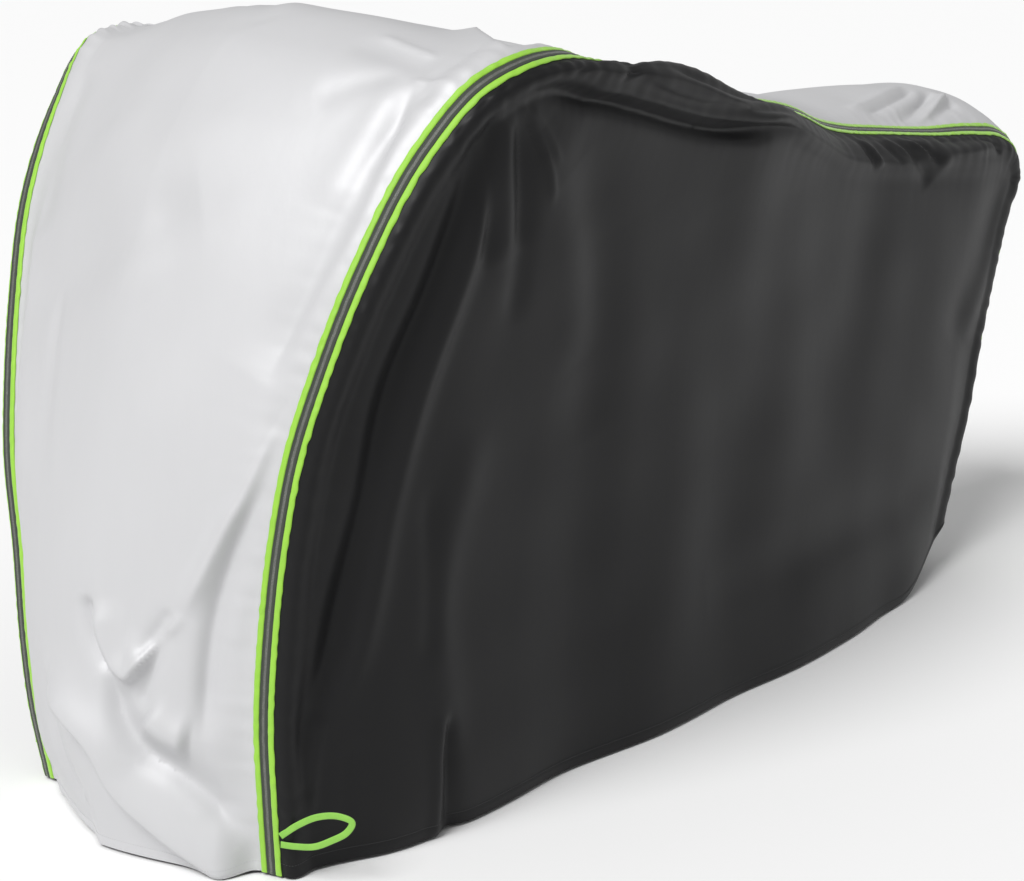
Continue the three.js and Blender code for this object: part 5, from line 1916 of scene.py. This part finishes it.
# The webbing loop's places: how far out from its root each lies, and how far up.
LOOP_ROUTE: Pairs = (
    (0.004, 0.0066), (0.012, 0.0128), (0.03, 0.026), (0.06, 0.0416), (0.092, 0.0462),
    (0.113, 0.0385), (0.105, 0.0222), (0.081, 0.0066), (0.055, -0.0052), (0.025, -0.0076),
    (0.012, -0.0072), (0.004, -0.0066),
)


# Which way the far loop stands out, as x and y, seen as a near one.
FAR_STAND_OFF = (0.7, -0.714)


@dataclass
class TieLoop:
    """The loop of webbing sewn in at the foot of a front seam.

    Attributes:
        height: How far up the seam its root lies.
        lift: How far the root lies over the cloth.
        stand_off: Which way it stands out, as x and y.
        section: The corners of its section, as shares of its width and its thickness.
    """

    side: Side
    seam: SeamLine
    fit: TrimFit
    width: float = 0.010
    thick: float = 0.0024
    height: float = 0.0655
    lift: float = 0.003
    stand_off: tuple[float, float] = (0.5, -0.866)
    steps: int = 150
    section: Pairs = (
        (-0.5, -0.25), (-0.42, -0.5), (-0.2, -0.42), (0, -0.5), (0.2, -0.42), (0.42, -0.5), (0.5, -0.25),
        (0.5, 0.25), (0.42, 0.5), (0.2, 0.42), (0, 0.5), (-0.2, 0.42), (-0.42, 0.5), (-0.5, 0.25),
    )

    def build(self, maker: MeshMaker, wardrobe: Wardrobe) -> None:
        """Makes the loop."""
        fit = self.fit
        frames = self.seam.frames(np.array([self.height]))
        inset = fit.tape_width / 2 + fit.piping_gap + fit.piping_width
        root = frames.beside(inset, fit.cloth / 2 + self.lift + self.thick / 2)[0]
        off = unit(np.array([*self.stand_off, 0.0]))
        face = np.array([off[1], -off[0], 0.0])
        route = np.array([root + off * away + np.array([0, 0, up]) for away, up in LOOP_ROUTE])
        gaps = np.linalg.norm(np.diff(route, axis=0), axis=1)
        knots = np.concatenate([[0.0], np.cumsum(np.sqrt(gaps))])
        fine = Curve(knots, route)(np.linspace(0.0, knots[-1], LOOP_POINTS))
        run = distances_along(fine)
        places = np.linspace(0.0, run[-1], self.steps + 1)
        line = points_at(places, run, fine)
        way = unit(np.gradient(line, axis=0))
        across = unit(np.cross(way, face))
        rings = np.stack([
            line + across * a * self.width + face * b * self.thick for a, b in self.section
        ], axis=1)
        girths = np.array([a * self.width for a, _ in self.section])
        name = self.side.value
        loop = maker.ribbon(f"webbing_loop_{name}", self.side.place(rings), places, girths)
        wardrobe.dress(loop, Slot.WEBBING, [f"tie_loop_{name}"])


def set_up(data: bpy.types.ID, place: Sequence[float], way: Vector) -> bpy.types.Object:
    """Puts a light or a camera at its place in the scene, looking along a way."""
    made = bpy.data.objects.new(data.name, data)
    made.location = place
    made.rotation_euler = way.to_track_quat("-Z", "Y").to_euler()
    bpy.context.scene.collection.objects.link(made)
    return made


@dataclass
class SoftBox:
    """A large soft light of the studio, with its size in metres and its power in watts."""

    name: str
    place: tuple[float, float, float]
    aim: tuple[float, float, float]
    size: float
    power: float

    def build(self) -> None:
        """Makes the light."""
        data = bpy.data.lights.new(self.name, "AREA")
        data.shape = "SQUARE"
        data.size = self.size
        data.energy = self.power
        set_up(data, self.place, Vector(self.aim) - Vector(self.place))
        log.info("%s: %.0f W", self.name, self.power)


@dataclass
class KeyLight:
    """The wide, soft key light from the front, which reaches the whole floor alike."""

    name: str = "key_light"
    comes_from: tuple[float, float, float] = (-0.66, -0.10, 0.74)
    strength: float = 3.1
    spread: float = math.radians(30)

    def build(self) -> None:
        """Makes the light."""
        data = bpy.data.lights.new(self.name, "SUN")
        data.energy = self.strength
        data.angle = self.spread
        set_up(data, (0, 0, 0), -Vector(self.comes_from))
        log.info("%s: %.1f", self.name, self.strength)


@dataclass
class Studio:
    """The pale floor, the soft lights and the camera at the photograph's angle.

    Attributes:
        lens: Focal length in millimetres on the sensor's width.
        camera_place: Where the camera stands.
        heading: The camera's heading from +X towards +Y, in degrees.
        pitch: How far it looks down, in degrees.
        floor_gap: How far the floor lies under the hem.
        world_strength: How bright the surroundings are.
    """

    lens: float = 84.375
    sensor: float = 36.0
    camera_place: tuple[float, float, float] = (-2.992855, -2.733085, 0.408238)
    heading: float = 42.54228
    pitch: float = 14.94256
    view_end: float = 200.0
    floor_radius: float = 30.0
    floor_corners: int = 96
    floor_gap: float = 0.004
    world_strength: float = 0.42
    key: KeyLight = field(default_factory=KeyLight)
    boxes: tuple[SoftBox, ...] = (
        SoftBox("rear_softbox", (3.6, -2.4, 2.2), (0.6, 0.0, -0.2), 2.4, 4.0),
    )

    def build_camera(self) -> None:
        """Makes the camera."""
        data = bpy.data.cameras.new("camera")
        data.lens = self.lens
        data.sensor_width = self.sensor
        data.clip_end = self.view_end
        heading, pitch = math.radians(self.heading), math.radians(self.pitch)
        level = math.cos(pitch)
        look = Vector((math.cos(heading) * level, math.sin(heading) * level, -math.sin(pitch)))
        bpy.context.scene.camera = set_up(data, self.camera_place, look)
        log.info("camera at %s", self.camera_place)

    def build_floor(self) -> None:
        """Makes the floor just under the hem."""
        bpy.ops.mesh.primitive_circle_add(
            vertices=self.floor_corners, radius=self.floor_radius, fill_type="NGON"
        )
        floor = bpy.context.object
        floor.name = "studio_floor"
        floor.location = (0, 0, CAD_BOX[0][2] - self.floor_gap)
        floor.data.materials.append(FloorFinish().material())
        log.info("floor at %.3f m", floor.location.z)

    def build_world(self) -> None:
        """Makes the even white surroundings."""
        world = bpy.data.worlds.new("studio")
        world.use_nodes = True
        background = world.node_tree.nodes["Background"]
        background.inputs["Color"].default_value = (1, 1, 1, 1)
        background.inputs["Strength"].default_value = self.world_strength
        bpy.context.scene.world = world
        bpy.context.scene.view_settings.view_transform = "Standard"

    def build(self) -> None:
        """Makes the whole studio."""
        self.build_camera()
        self.build_floor()
        self.build_world()
        self.key.build()
        for box in self.boxes:
            box.build()


def main() -> None:
    """Builds the studio and every piece of the cover."""
    logging.basicConfig(level=logging.INFO, format="%(name)s: %(message)s")
    Studio().build()
    near, far, fit = SeamLine(NEAR_TURN), SeamLine(FAR_TURN, FAR_BEND, FAR_DROP), TrimFit()
    maker, wardrobe = MeshMaker(), Wardrobe()
    SidePanel(Side.LEFT, near, fit, NEAR_FOLDS, NEAR_SHOULDER_FOLDS).build(maker, wardrobe)
    SidePanel(Side.RIGHT, far, fit, FAR_FOLDS).build(maker, wardrobe)
    CentrePanel(near, far, fit).build(maker, wardrobe)
    for side, seam in ((Side.LEFT, near), (Side.RIGHT, far)):
        SeamTrim(side, seam, fit).build(maker, wardrobe)
    TieLoop(Side.LEFT, near, fit).build(maker, wardrobe)
    TieLoop(Side.RIGHT, far, fit, stand_off=FAR_STAND_OFF).build(maker, wardrobe)


if __name__ == "__main__":
    main()
